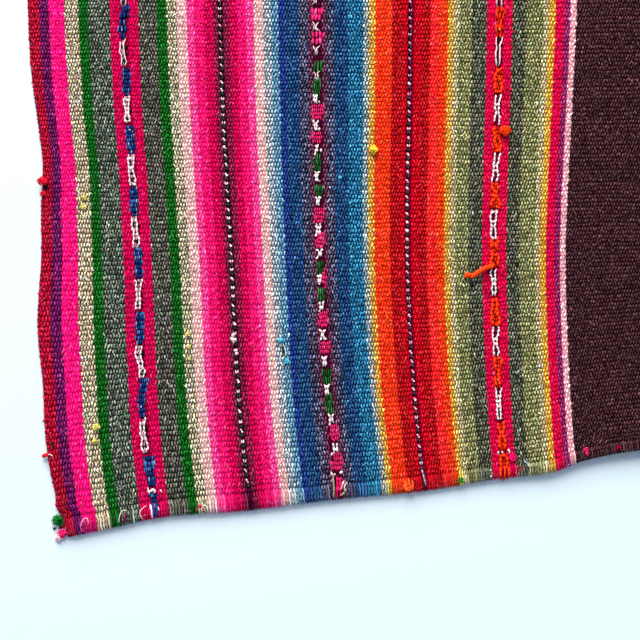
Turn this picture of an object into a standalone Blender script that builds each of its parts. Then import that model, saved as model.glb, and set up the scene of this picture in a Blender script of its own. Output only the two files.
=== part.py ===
"""An aguayo: a carrying cloth of two warp-striped panels, sewn side by side and laid flat.

Metres, +Z up. +X runs across the cloth to the right and +Y along the warp to the back.
Each panel is woven with four finished edges, so nothing is cut or hemmed. The front left
corner is drawn out of square, and the other edges wander a little, as hand weaving does.
The origin is at the middle of the cloth's outline, on the surface that it lies on.
"""

from collections import namedtuple

import bmesh
import bpy
import numpy as np
from mathutils import Vector

MM = 0.001

# Driving dimensions
PANEL_WIDTH = 449.7 * MM
PANEL_LENGTH = 960.0 * MM
SEAM_GAP = 0.6 * MM
CLOTH_THICKNESS = 1.6 * MM
CLEARANCE = 0.3 * MM

# How far the skew of an end reaches into the panel, and how it fades
END_REACH = 90.0 * MM
END_FADE = 1.5
LEAN_REACH = 75.0 * MM
LEAN_FADE = 2.0
FAN_SHIFT = 4.0 * MM
FAN_START = 55.0 * MM
FAN_STOP = 320.0 * MM
FAN_SKEW = 0.8
SELVEDGE_REACH = 9.0 * MM

# The panels' ends: a band of close-packed turns, then the crease beside the heading cord
HEADING_ROWS = ((0.0, 0.62), (1.5, 0.98), (3.0, 0.66), (4.6, 0.86))
SELVEDGE_ROWS = ((0.0, 0.70), (2.0, 0.86))
FULL_WEIGHT = 0.86

# The grid that a panel is made on: closer in the striped band than on the plain ground
BAND_WIDTH = 142.0 * MM
FINE_STEP = 6.0 * MM
BAND_STEP = 14.0 * MM
GROUND_STEP = 27.0 * MM
STEP_GROWTH = 1.3

# The seam's band of stitches over the two inner selvedges
SEAM_HALF_WIDTH = 2.6 * MM
SEAM_HEIGHT = 1.0 * MM
SEAM_INSET = 2.5 * MM
SEAM_STATIONS = 64
SEAM_EDGE_WEIGHT = 0.25

# Loose yarn and tufts
YARN_RADIUS = 0.65 * MM
TUFT_SUBDIVISIONS = 2
TUFT_LUMPS = 0.18

Material = namedtuple("Material", "colour roughness")
STRIPED_WOOL = Material((0.42, 0.05, 0.11), 0.85)
SEAM_WOOL = Material((0.045, 0.018, 0.018), 0.9)
GREEN_WOOL = Material((0.06, 0.26, 0.09), 0.9)
PINK_WOOL = Material((0.75, 0.16, 0.28), 0.9)
ORANGE_WOOL = Material((0.85, 0.13, 0.02), 0.85)

# An end of a panel, in millimetres from its outer selvedge: how far the end hangs out past
# the straight line, how far the warp leans inwards there, and its share of the fan
End = namedtuple("End", "across drop lean fan")
FRONT_LEFT = (
    End(0, 14.0, 4.8, -0.9),
    End(12, 11.9, 4.8, -1.0),
    End(26, 8.9, 4.7, -1.0),
    End(50, 6.9, 4.8, -0.9),
    End(75, 3.8, 4.7, -0.3),
    End(99, 1.5, 4.4, 0.3),
    End(121, -1.9, 2.9, 0.5),
    End(137, -4.1, 2.7, 0.9),
    End(143, -6.5, 2.7, 1.0),
    End(156, -9.2, 2.7, 1.0),
    End(200, -9.6, 2.2, 0.8),
    End(300, -5.5, 1.0, 0.4),
    End(450, -2.0, 0.0, 0.0),
)
FRONT_RIGHT = (
    End(0, 6.5, 2.0, -0.5),
    End(60, 3.0, 1.6, -0.3),
    End(150, -2.5, 1.0, 0.3),
    End(300, -4.0, 0.5, 0.2),
    End(450, -2.0, 0.0, 0.0),
)
BACK_LEFT = (
    End(0, 2.0, -1.5, 0.0),
    End(70, -1.5, -1.0, 0.0),
    End(180, 1.5, -0.5, 0.0),
    End(320, 2.5, 0.0, 0.0),
    End(450, 0.5, 0.0, 0.0),
)
BACK_RIGHT = (
    End(0, 7.0, 2.5, 0.0),
    End(50, 4.5, 2.0, 0.0),
    End(140, 0.5, 1.0, 0.0),
    End(300, -1.5, 0.0, 0.0),
    End(450, 0.5, 0.0, 0.0),
)

# The outer selvedge, in millimetres along the panel: how far it is pulled inwards
Pull = namedtuple("Pull", "along inset")
LEFT_SELVEDGE = (
    Pull(0, 3.2),
    Pull(4, 1.9),
    Pull(9, -0.6),
    Pull(24, -1.5),
    Pull(34, -1.1),
    Pull(47, -1.8),
    Pull(57, -0.9),
    Pull(63, -0.1),
    Pull(76, 0.2),
    Pull(86, 1.9),
    Pull(96, 1.6),
    Pull(109, 0.1),
    Pull(130, -0.8),
    Pull(200, 0.8),
    Pull(310, -1.2),
    Pull(450, 1.4),
    Pull(600, -0.6),
    Pull(760, 1.8),
    Pull(880, -0.8),
    Pull(960, 1.5),
)
RIGHT_SELVEDGE = (
    Pull(0, 1.8),
    Pull(40, -0.6),
    Pull(150, 1.2),
    Pull(290, -1.4),
    Pull(430, 0.6),
    Pull(590, 2.0),
    Pull(740, -0.9),
    Pull(870, 0.9),
    Pull(960, 2.2),
)

# Soft ripples where the cloth does not lie down, in millimetres from the cloth's middle
Ripple = namedtuple("Ripple", "x y half_length half_width turn_degrees height")
RIPPLES = (
    Ripple(-262, -480, 78, 46, 4, 4.2),
    Ripple(-130, -230, 190, 85, 24, 4.6),
    Ripple(150, -110, 230, 90, -32, 5.4),
    Ripple(-330, 70, 170, 75, 82, 3.8),
    Ripple(285, 235, 190, 80, 14, 5.0),
    Ripple(-90, 290, 180, 85, -48, 4.8),
    Ripple(345, -320, 140, 70, 63, 4.0),
    Ripple(455, 60, 90, 55, 88, 4.4),
    Ripple(-455, 300, 85, 50, 90, 3.6),
    Ripple(-205, 480, 110, 60, -6, 5.2),
    Ripple(130, -482, 105, 52, 3, 3.6),
    Ripple(440, 468, 85, 60, 42, 6.0),
)

Panel = namedtuple("Panel", "name side front back selvedge")
PANELS = (
    Panel("panel_left", -1, FRONT_LEFT, BACK_LEFT, LEFT_SELVEDGE),
    Panel("panel_right", 1, FRONT_RIGHT, BACK_RIGHT, RIGHT_SELVEDGE),
)

# Yarn ends, in millimetres from the outer edge and the front end of the left panel.
# across is measured to the centre, and the route's height is above the cloth.
Tuft = namedtuple("Tuft", "name across along radius stretch material")
TUFTS = (
    Tuft("corner_tuft_green", 3.5, -9.5, 1.25, 1.15, GREEN_WOOL),
    Tuft("corner_tuft_pink", 4.7, -14.2, 1.30, 1.35, PINK_WOOL),
)
Route = namedtuple("Route", "across along height")
LOOSE_YARN = (
    Route(121.4, 58.6, 0.1),
    Route(120.0, 58.2, 0.5),
    Route(118.4, 57.8, 0.9),
    Route(116.6, 56.6, 0.6),
    Route(114.9, 55.7, 0.1),
    Route(113.6, 56.2, 0.4),
    Route(112.4, 55.3, 0.1),
)
YARN_STEP = 0.5 * MM


def smooth_through(rows, column, at):
    """A cubic curve through a table's rows, with each slope taken from the row's neighbours."""
    x = np.array([row[0] for row in rows], float) * MM
    y = np.array([getattr(row, column) for row in rows], float)
    slope = np.gradient(y, x)
    at = np.clip(np.asarray(at, float), x[0], x[-1])
    i = np.clip(np.searchsorted(x, at, side="right") - 1, 0, len(x) - 2)
    step = x[i + 1] - x[i]
    u = (at - x[i]) / step
    start = (1 + 2 * u) * (1 - u) ** 2 * y[i] + u * (1 - u) ** 2 * step * slope[i]
    stop = u**2 * (3 - 2 * u) * y[i + 1] + u**2 * (u - 1) * step * slope[i + 1]
    return start + stop


def fading(distance, reach, power):
    """1 at an end, falling smoothly to 0 at the given reach."""
    return np.clip(1 - distance / reach, 0, 1) ** power


def lift(x, y):
    """Height of the cloth's underside: nought, but for soft compact ripples."""
    height = np.zeros_like(x)
    for ripple in RIPPLES:
        turn = np.radians(ripple.turn_degrees)
        dx, dy = x - ripple.x * MM, y - ripple.y * MM
        along = (dx * np.cos(turn) + dy * np.sin(turn)) / (ripple.half_length * MM)
        across = (dy * np.cos(turn) - dx * np.sin(turn)) / (ripple.half_width * MM)
        height += ripple.height * MM * np.clip(1 - along**2 - across**2, 0, 1) ** 2
    return height


def cloth_place(panel, across, along):
    """Where a point of a panel lies, from its distances across and along the weave."""
    from_back = PANEL_LENGTH - along
    front_lean = smooth_through(panel.front, "lean", across) * MM
    back_lean = smooth_through(panel.back, "lean", across) * MM
    spread = np.clip((along - FAN_START) / (FAN_STOP - FAN_START), 0, 1) ** FAN_SKEW
    fan = smooth_through(panel.front, "fan", across) * FAN_SHIFT * np.sin(np.pi * spread) ** 2
    pull = smooth_through(panel.selvedge, "inset", along) * MM * np.exp(-across / SELVEDGE_REACH)
    inwards = across + fan + pull
    inwards = inwards + front_lean * fading(along, LEAN_REACH, LEAN_FADE)
    inwards = inwards + back_lean * fading(from_back, LEAN_REACH, LEAN_FADE)
    x = panel.side * (PANEL_WIDTH + SEAM_GAP / 2 - inwards)
    front_drop = smooth_through(panel.front, "drop", across) * MM
    back_drop = smooth_through(panel.back, "drop", across) * MM
    y = along - PANEL_LENGTH / 2 - front_drop * fading(along, END_REACH, END_FADE)
    y = y + back_drop * fading(from_back, END_REACH, END_FADE)
    return x, y, lift(x, y)


def graded_steps(start, stop, coarse):
    """Places from start up to stop, fine near both and coarser in the middle."""
    span = stop - start
    steps = []
    step = FINE_STEP
    while 2 * (sum(steps) + step) < span - step:
        steps.append(step)
        step = min(step * STEP_GROWTH, coarse)
    middle = span - 2 * sum(steps)
    count = max(1, round(middle / step))
    widths = steps + [middle / count] * count + steps[::-1]
    return [start + sum(widths[:i]) for i in range(len(widths))]


def across_lines():
    """A panel's grid lines from its outer selvedge to the seam, and the weight at each."""
    edge = [place * MM for place, weight in SELVEDGE_ROWS]
    inner = graded_steps(edge[-1], BAND_WIDTH, BAND_STEP)
    inner += graded_steps(BAND_WIDTH, PANEL_WIDTH, GROUND_STEP) + [PANEL_WIDTH]
    weights = [weight for place, weight in SELVEDGE_ROWS] + [FULL_WEIGHT] * (len(inner) - 1)
    return edge[:-1] + inner, weights


def along_lines():
    """A panel's grid lines from its front end to its back end, and the weight at each."""
    edge = [place * MM for place, weight in HEADING_ROWS]
    weights = [weight for place, weight in HEADING_ROWS]
    inner = graded_steps(edge[-1], PANEL_LENGTH - edge[-1], GROUND_STEP)
    tail = [PANEL_LENGTH - place for place in reversed(edge)]
    middle_weights = [FULL_WEIGHT] * (len(inner) - 1)
    return edge[:-1] + inner + tail, weights + middle_weights + weights[::-1]


def make_material(name, material):
    """A plain wool finish."""
    made = bpy.data.materials.new(name)
    made.use_nodes = True
    shader = made.node_tree.nodes["Principled BSDF"]
    shader.inputs["Base Color"].default_value = (*material.colour, 1.0)
    shader.inputs["Roughness"].default_value = material.roughness
    shader.inputs["Metallic"].default_value = 0.0
    made.diffuse_color = (*material.colour, 1.0)
    return made


def make_object(name, mesh, material, parent):
    """Links a mesh or curve as a named object of the cloth, with its own finish."""
    made = bpy.data.objects.new(name, mesh)
    made.data.materials.append(make_material(name, material))
    made.parent = parent
    bpy.context.scene.collection.objects.link(made)
    return made


def make_sheet(name, points, weights, thickness, material, parent):
    """A closed sheet over a grid of underside points, thickened upwards by its weights."""
    rows, columns = len(points), len(points[0])
    shell = bmesh.new()
    grid = [[shell.verts.new(point) for point in row] for row in points]
    for j in range(rows - 1):
        for i in range(columns - 1):
            shell.faces.new((grid[j][i], grid[j][i + 1], grid[j + 1][i + 1], grid[j + 1][i]))
    bmesh.ops.recalc_face_normals(shell, faces=shell.faces)
    if sum(face.normal.z for face in shell.faces) < 0:
        bmesh.ops.reverse_faces(shell, faces=shell.faces)
    bmesh.ops.triangulate(shell, faces=shell.faces)
    mesh = bpy.data.meshes.new(name)
    shell.to_mesh(mesh)
    shell.free()
    made = make_object(name, mesh, material, parent)
    group = made.vertex_groups.new(name="thickness")
    for index, weight in enumerate(weight for row in weights for weight in row):
        group.add([index], weight, "REPLACE")
    solid = made.modifiers.new("thickness", "SOLIDIFY")
    solid.thickness = thickness
    solid.offset = 1.0
    solid.vertex_group = group.name
    return made


def make_panel(panel, parent):
    """One woven panel, with its heading bands at both ends."""
    across, across_weights = across_lines()
    along, along_weights = along_lines()
    grid_across, grid_along = np.meshgrid(across, along)
    x, y, z = cloth_place(panel, grid_across, grid_along)
    points = np.stack((x, y, z), axis=-1).tolist()
    weights = np.minimum(*np.meshgrid(across_weights, along_weights))
    thickness = CLOTH_THICKNESS / FULL_WEIGHT
    return make_sheet(panel.name, points, weights.tolist(), thickness, STRIPED_WOOL, parent)


def make_seam(parent):
    """The band of joining stitches, lying over the two inner selvedges."""
    half_length = PANEL_LENGTH / 2 - SEAM_INSET
    across = np.array([-1.0, -0.5, 0.0, 0.5, 1.0])
    x, y = np.meshgrid(across * SEAM_HALF_WIDTH, np.linspace(-half_length, half_length, SEAM_STATIONS))
    z = lift(x, y) + CLOTH_THICKNESS + CLEARANCE
    weights = SEAM_EDGE_WEIGHT + (1 - SEAM_EDGE_WEIGHT) * np.sqrt(1 - across**2)
    weights = np.tile(weights, (SEAM_STATIONS, 1))
    points = np.stack((x, y, z), axis=-1).tolist()
    return make_sheet("centre_seam", points, weights.tolist(), SEAM_HEIGHT, SEAM_WOOL, parent)


def left_panel_spot(across, along):
    """A place measured in millimetres from the left panel's outer edge and front end."""
    x = across * MM - PANEL_WIDTH - SEAM_GAP / 2
    y = along * MM - PANEL_LENGTH / 2
    return x, y


def make_tuft(tuft, parent):
    """A small knotted yarn end: a lumpy ball that rests on the surface."""
    shell = bmesh.new()
    radius = tuft.radius * MM
    bmesh.ops.create_icosphere(shell, subdivisions=TUFT_SUBDIVISIONS, radius=radius)
    x, y = left_panel_spot(tuft.across, tuft.along)
    for vert in shell.verts:
        way = vert.co.normalized()
        lump = np.sin(5 * way.x + 2 * way.y) * np.cos(4 * way.y - 3 * way.z)
        vert.co = vert.co * (1 - TUFT_LUMPS / 2 + TUFT_LUMPS / 2 * float(lump))
        vert.co.y *= tuft.stretch
    lowest = min(vert.co.z for vert in shell.verts)
    for vert in shell.verts:
        vert.co += Vector((x, y, -lowest))
    mesh = bpy.data.meshes.new(tuft.name)
    shell.to_mesh(mesh)
    shell.free()
    return make_object(tuft.name, mesh, tuft.material, parent)


def make_loose_yarn(parent):
    """The loose end of a pattern yarn, a bent tube on the cloth."""
    corners = []
    for point in LOOSE_YARN:
        x, y = left_panel_spot(point.across, point.along)
        base = float(lift(np.array(x), np.array(y))) + CLOTH_THICKNESS + CLEARANCE + YARN_RADIUS
        corners.append((x, y, base + point.height * MM))
    corners = np.array(corners)
    run = np.concatenate(([0.0], np.cumsum(np.linalg.norm(np.diff(corners, axis=0), axis=1))))
    slopes = np.gradient(corners, run, axis=0)
    at = np.linspace(0, run[-1], int(run[-1] / YARN_STEP) + 1)
    i = np.clip(np.searchsorted(run, at, side="right") - 1, 0, len(run) - 2)
    step = (run[i + 1] - run[i])[:, None]
    u = ((at - run[i]) / (run[i + 1] - run[i]))[:, None]
    route = (1 + 2 * u) * (1 - u) ** 2 * corners[i] + u * (1 - u) ** 2 * step * slopes[i]
    route = route + u**2 * (3 - 2 * u) * corners[i + 1] + u**2 * (u - 1) * step * slopes[i + 1]
    curve = bpy.data.curves.new("loose_yarn_end", "CURVE")
    curve.dimensions = "3D"
    curve.bevel_depth = YARN_RADIUS
    curve.bevel_resolution = 2
    curve.use_fill_caps = True
    spline = curve.splines.new("POLY")
    spline.points.add(len(route) - 1)
    for point, place in zip(spline.points, route):
        point.co = (*place, 1.0)
    return make_object("loose_yarn_end", curve, ORANGE_WOOL, parent)


def stand_at_origin(root, objects):
    """Moves the cloth so that the middle of its outline's box is at the origin."""
    bpy.context.view_layer.update()
    depsgraph = bpy.context.evaluated_depsgraph_get()
    places = []
    for made in objects:
        shown = made.evaluated_get(depsgraph)
        places += [shown.matrix_world @ vert.co for vert in shown.to_mesh().vertices]
        shown.to_mesh_clear()
    places = np.array(places)
    middle = (places.min(axis=0) + places.max(axis=0)) / 2
    root.location = (-middle[0], -middle[1], -places[:, 2].min())


def main():
    """Builds the cloth in an empty scene."""
    for old in list(bpy.data.objects):
        bpy.data.objects.remove(old)
    root = bpy.data.objects.new("aguayo", None)
    bpy.context.scene.collection.objects.link(root)
    objects = [make_panel(panel, root) for panel in PANELS]
    objects.append(make_seam(root))
    objects += [make_tuft(tuft, root) for tuft in TUFTS]
    objects.append(make_loose_yarn(root))
    stand_at_origin(root, objects)


main()
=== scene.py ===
"""Looks of an aguayo, a carrying cloth of two warp-striped panels sewn side by side.

Metres, +Z up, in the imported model's frame. A place on a panel is given by its distance
across the weave from the outer selvedge, its distance along the warp from the front end,
and its height above the cloth. Warp ends are counted from the outer selvedge and picks,
the passes of the weft, from the front end.
"""

import logging
from collections import namedtuple
from dataclasses import dataclass
from enum import Enum
from typing import ClassVar

import bpy
import numpy as np
from bpy.types import Material, Node, NodeSocket, Object
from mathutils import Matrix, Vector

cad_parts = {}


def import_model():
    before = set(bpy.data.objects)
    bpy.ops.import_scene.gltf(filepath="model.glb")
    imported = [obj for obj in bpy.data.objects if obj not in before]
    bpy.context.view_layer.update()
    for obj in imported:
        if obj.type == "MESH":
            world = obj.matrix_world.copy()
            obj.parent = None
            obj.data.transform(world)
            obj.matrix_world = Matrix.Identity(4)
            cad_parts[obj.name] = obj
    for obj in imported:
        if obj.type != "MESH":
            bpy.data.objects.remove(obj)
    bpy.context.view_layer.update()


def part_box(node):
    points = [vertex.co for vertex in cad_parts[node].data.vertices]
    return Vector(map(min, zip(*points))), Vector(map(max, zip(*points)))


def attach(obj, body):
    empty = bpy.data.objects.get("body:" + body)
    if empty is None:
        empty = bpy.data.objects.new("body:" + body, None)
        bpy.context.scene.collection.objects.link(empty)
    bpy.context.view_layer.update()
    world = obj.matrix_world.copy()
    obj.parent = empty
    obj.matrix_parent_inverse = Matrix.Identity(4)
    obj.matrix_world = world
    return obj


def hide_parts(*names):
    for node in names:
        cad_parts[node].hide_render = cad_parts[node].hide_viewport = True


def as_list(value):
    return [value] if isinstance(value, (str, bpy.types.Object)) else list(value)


Array = np.ndarray

LOG = logging.getLogger("aguayo")
MM = 0.001
SEED = 11

# The panel, as the solids have it
PANEL_WIDTH = 449.7 * MM
PANEL_LENGTH = 960.0 * MM
SEAM_GAP = 0.6 * MM
CLOTH_THICKNESS = 1.6 * MM
END_REACH = 90.0 * MM
END_FADE = 1.5
LEAN_REACH = 75.0 * MM
LEAN_FADE = 2.0
FAN_SHIFT = 4.0 * MM
FAN_START = 55.0 * MM
FAN_STOP = 320.0 * MM
FAN_SKEW = 0.8
SELVEDGE_REACH = 9.0 * MM
FULL_WEIGHT = 0.86
WORN_ACROSS = 11.0 * MM
WORN_ALONG = 24.0 * MM
WORN_SHARE = 0.42
LOCATE_STEPS = 40
LOCATE_PACE = 0.85

# Thickness towards an end and towards a selvedge: place in millimetres, share
HEADING_PLACES = (0.0, 0.5, 1.5, 3.0, 3.5, 4.4)
HEADING_SHARES = (0.42, 0.76, 0.92, 0.84, 0.78, 0.86)
SELVEDGE_PLACES = (0.0, 0.4, 1.0, 2.0)
SELVEDGE_SHARES = (0.40, 0.66, 0.80, 0.86)

# The weave: spacing of ends and picks, and how much the picks loosen towards an end
END_PITCH = 0.3813 * MM
PICK_PITCH = 1.115 * MM
LOOSENING = 5.85 * MM
LOOSENING_REACH = 45.0 * MM
HEADING_DEPTH = 3.5 * MM
FIRST_PICK = 3

# The photograph's frame on the cloth: one pixel, and the lines of the selvedge and the end
PIXEL = 0.27 * MM
FRAME_PIXELS = 640
SELVEDGE_PX = 41.0
FRONT_END_PX = 485.0
SELVEDGE_FROM_MIDDLE = 450.0 * MM
END_FROM_MIDDLE = 480.0 * MM
LENS_MM = 80.0
SENSOR_MM = 36.0


def table(row: type, *rows: tuple) -> tuple:
    """Gives the rows of a table the names of its columns."""
    return tuple(row(*values) for values in rows)


# A panel's ends: at a distance across, how far they drop and lean, and the share of FAN_SHIFT
End = namedtuple("End", "across drop lean fan")
FRONT_LEFT = table(End,
    (0, 14, 4.8, -0.9), (12, 11.9, 4.8, -1), (26, 8.9, 4.7, -1), (50, 6.9, 4.8, -0.9), (75, 3.8, 4.7, -0.3),
    (99, 1.5, 4.4, 0.3), (121, -1.9, 2.9, 0.5), (137, -4.1, 2.7, 0.9), (143, -6.5, 2.7, 1),
    (156, -9.2, 2.7, 1), (200, -9.6, 2.2, 0.8), (300, -5.5, 1, 0.4), (450, -2, 0, 0),
)
FRONT_RIGHT = table(End,
    (0, 6.5, 2, -0.5), (60, 3, 1.6, -0.3), (150, -2.5, 1, 0.3), (300, -4, 0.5, 0.2), (450, -2, 0, 0),
)
BACK_LEFT = table(End,
    (0, 2, -1.5, 0), (70, -1.5, -1, 0), (180, 1.5, -0.5, 0), (320, 2.5, 0, 0), (450, 0.5, 0, 0),
)
BACK_RIGHT = table(End,
    (0, 7, 2.5, 0), (50, 4.5, 2, 0), (140, 0.5, 1, 0), (300, -1.5, 0, 0), (450, 0.5, 0, 0),
)
# A panel's outer selvedge: at a distance along, how far it is drawn in
Pull = namedtuple("Pull", "along inset")
LEFT_SELVEDGE = table(Pull,
    (0, 2.3), (2.4, 1.8), (4, 1.5), (5, 1.1), (6, 0.1), (6.8, -0.3), (8, 0), (9.4, 0), (12, -0.5), (16, -1),
    (24, -1.4), (34, -1.1), (47, -1.8), (57, -0.9), (63, -0.1), (76, 0.4), (86, 1.4), (96, 0.8),
    (109, -0.4), (130, -0.8), (200, 0.8), (310, -1.2), (450, 1.4), (600, -0.6), (760, 1.8), (880, -0.8),
    (960, 1.5),
)
RIGHT_SELVEDGE = table(Pull,
    (0, 1.8), (40, -0.6), (150, 1.2), (290, -1.4), (430, 0.6), (590, 2), (740, -0.9), (870, 0.9),
    (960, 2.2),
)
# Soft ripples, in millimetres from the cloth's middle
Ripple = namedtuple("Ripple", "x y half_length half_width turn_degrees height")
RIPPLES = table(Ripple,
    (-262, -480, 78, 46, 4, 1.8), (-130, -230, 190, 85, 24, 4.6), (150, -110, 230, 90, -32, 5.4),
    (-330, 70, 170, 75, 82, 3.8), (285, 235, 190, 80, 14, 5.0), (-90, 290, 180, 85, -48, 4.8),
    (345, -320, 140, 70, 63, 4.0), (455, 60, 90, 55, 88, 4.4), (-455, 300, 85, 50, 90, 3.6),
    (-205, 480, 110, 60, -6, 5.2), (130, -482, 105, 52, 3, 3.6), (440, 468, 85, 60, 42, 6.0),
)


@dataclass(frozen=True)
class Dye:
    """A wool's colour where light reaches it, and deep, its colour between the yarns: the dark weft there
    with painted shade.

    mottle is how far single floats of it may differ, from 0 to 1, and plump how much
    bigger than usual they are.
    """

    bright: str
    deep: str
    mottle: float = 0.22
    plump: float = 1.0


class Wool(Enum):
    """The handspun wools that the cloth is woven from."""

    CRIMSON = Dye("dc264c", "6a000e", 0.3)
    INNER_CRIMSON = Dye("de1854", "b4002e", 0.25, 1.04)
    PLUM = Dye("9c3080", "360028", 0.4)
    MAGENTA = Dye("ff2a90", "d8005e", 0.2, 1.08)
    STRAW = Dye("ffeace", "40280e", 0.4, 1.1)
    LEAF = Dye("2a8034", "002a00", 0.35)
    MARL = Dye("a8b2a4", "040a04", 0.85, 0.95)
    CERISE = Dye("e41660", "a20038", 0.3)
    BROWN_MARL = Dye("9a988e", "0c0804", 0.8, 0.95)
    BEIGE = Dye("fff2d2", "32240c", 0.45, 1.04)
    BLUSH = Dye("ffd4d6", "ba8284", 0.3, 1.06)
    CANDY = Dye("ff62ac", "d41c6c", 0.25, 1.06)
    HOT_PINK = Dye("ff2682", "cc0452", 0.25, 1.08)
    INNER_PLUM = Dye("b44088", "64002c", 0.3)
    MULBERRY = Dye("a8305a", "520522")
    PALE_BLUE = Dye("e8ecf4", "3c4a5e", 0.35)
    SKY = Dye("96c8e8", "103a5c", 0.4)
    ROYAL = Dye("3a58a8", "000c4c", 0.3)
    STEEL = Dye("3e70a6", "000a38", 0.45)
    LILAC = Dye("9490be", "020212", 0.92, 0.92)
    WINE = Dye("96567a", "240010", 0.5)
    TEAL = Dye("46a2d4", "00203e", 0.4)
    PALE_TEAL = Dye("eaeeee", "1c3840", 0.55)
    YELLOW = Dye("ffdc6c", "984e08", 0.45)
    ORANGE_RED = Dye("ff542c", "c81204", 0.26, 1.06)
    DARK_RED = Dye("d42430", "7a0000", 0.3)
    RED = Dye("dc1830", "900008", 0.22, 1.04)
    SCARLET = Dye("ff4444", "ce0408", 0.24, 1.08)
    ORANGE = Dye("ff602c", "c41000", 0.28, 1.04)
    OLIVE = Dye("ccc894", "2c3008", 0.6)
    CHARCOAL = Dye("9c9c88", "080a04", 0.8, 0.95)
    TAN = Dye("fff0c4", "5a4616", 0.45)
    GOLD = Dye("ffd860", "a05a08", 0.4, 1.02)
    EDGE_PINK = Dye("ffcad6", "cc7c8c", 0.25, 1.15)
    PAMPA = Dye("68424a", "120003", 0.58)
    CRIMSON_GROUND = Dye("b01040", "5a0018")
    WINE_GROUND = Dye("5a0a30", "1c0210")
    RED_GROUND = Dye("a8002c", "4a0010")
    PLUM_GROUND = Dye("6a1040", "1e0412")
    WHITE = Dye("f6e8ec", "94606e", 0.26)
    # White in painted shade: the low strand between a net's two white ones
    SHADED_WHITE = Dye("cc9cb0", "744058", 0.35)
    # Near black, for low floats under pattern floats: the dark weft with painted shade
    DEEPEST = Dye("180c10", "0a0608", 0.3)
    HOT_ROSE = Dye("f8307c", "a01048", 0.25)
    LIGHT_GREEN = Dye("4a9456", "0c3414", 0.3)
    DEEP_ORANGE = Dye("d82410", "780a04", 0.25)
    NAVY = Dye("1a4088", "060e40", 0.4)
    MID_BLUE = Dye("5082c4", "102a6c", 0.4)
    GREEN = Dye("1a6b2a", "062c0c", 0.3)
    ROSE = Dye("f02c74", "7a0a30", 0.3)
    PATTERN_ORANGE = Dye("ff4014", "c01006", 0.2)
    GREY_GREEN = Dye("3a5a40", "060c06", 0.4)
    GREY_MAUVE = Dye("6c5672", "0c0810", 0.4)
    PALE_MAUVE = Dye("ecd4dc", "805064", 0.35)
    BLACK = Dye("1c2020", "060606", 0.3)
    KNOT_YELLOW = Dye("ffd840", "c88a08", 0.2)
    LEMON = Dye("eadc7c", "8a7424", 0.2)
    CYAN = Dye("58d0f4", "1a7090", 0.2)
    LOOSE_RED = Dye("e01c34", "7a0010", 0.2)


class Figure(Enum):
    """What a stripe's ends carry besides plain weave."""

    NONE = "plain weave"
    BLUE_AND_WHITE = "blue blocks and a white net"
    ROSE_AND_GREEN = "rose and green blocks and white rings"
    ORANGE_AND_WHITE = "orange links and a white net"
    GREEN_TWIST = "white spots between grey-green ones"
    MAUVE_TWIST = "white spots between grey-mauve ones"


@dataclass(frozen=True)
class Stripe:
    """Neighbouring warp ends of one wool."""

    ends: int
    wool: Wool
    figure: Figure = Figure.NONE


WARP = table(Stripe,
    (8, Wool.CRIMSON), (7, Wool.PLUM), (11, Wool.MAGENTA), (10, Wool.STRAW), (7, Wool.LEAF),
    (15, Wool.MARL), (7, Wool.CERISE), (6, Wool.CRIMSON_GROUND, Figure.BLUE_AND_WHITE), (7, Wool.CERISE),
    (13, Wool.BROWN_MARL), (7, Wool.LEAF), (7, Wool.BEIGE), (7, Wool.BLUSH), (5, Wool.CANDY),
    (7, Wool.HOT_PINK), (6, Wool.CERISE), (3, Wool.MULBERRY), (4, Wool.PLUM_GROUND, Figure.GREEN_TWIST),
    (4, Wool.MULBERRY), (5, Wool.CERISE), (6, Wool.HOT_PINK), (5, Wool.CANDY), (6, Wool.BLUSH),
    (5, Wool.PALE_BLUE), (5, Wool.SKY), (4, Wool.ROYAL), (9, Wool.STEEL), (6, Wool.LILAC), (3, Wool.WINE),
    (6, Wool.WINE_GROUND, Figure.ROSE_AND_GREEN), (3, Wool.WINE), (5, Wool.LILAC), (9, Wool.STEEL),
    (10, Wool.TEAL), (4, Wool.PALE_TEAL), (4, Wool.YELLOW), (11, Wool.ORANGE_RED), (7, Wool.DARK_RED),
    (3, Wool.RED), (5, Wool.RED_GROUND, Figure.MAUVE_TWIST), (5, Wool.RED), (6, Wool.DARK_RED),
    (7, Wool.SCARLET), (5, Wool.ORANGE), (4, Wool.YELLOW), (4, Wool.TAN), (9, Wool.OLIVE),
    (10, Wool.CHARCOAL), (6, Wool.INNER_CRIMSON), (5, Wool.RED_GROUND, Figure.ORANGE_AND_WHITE),
    (6, Wool.INNER_CRIMSON), (9, Wool.CHARCOAL), (11, Wool.OLIVE), (4, Wool.TAN), (4, Wool.GOLD),
    (6, Wool.INNER_CRIMSON), (4, Wool.INNER_PLUM), (4, Wool.EDGE_PINK),
)
BORDERS = np.cumsum((0, *(stripe.ends for stripe in WARP)))
BAND_ENDS = int(BORDERS[-1])
PANEL_ENDS = int(PANEL_WIDTH / END_PITCH)


def linear_rgb(code: str) -> Array:
    """Turns a display colour into linear light, by the display's own curve.

    Args:
        code: six hexadecimal digits.

    Returns:
        Three numbers from 0 to 1.
    """
    shown = np.array([int(code[i : i + 2], 16) for i in (0, 2, 4)]) / 255
    return np.where(shown <= 0.04045, shown / 12.92, ((shown + 0.055) / 1.055) ** 2.4)


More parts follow.
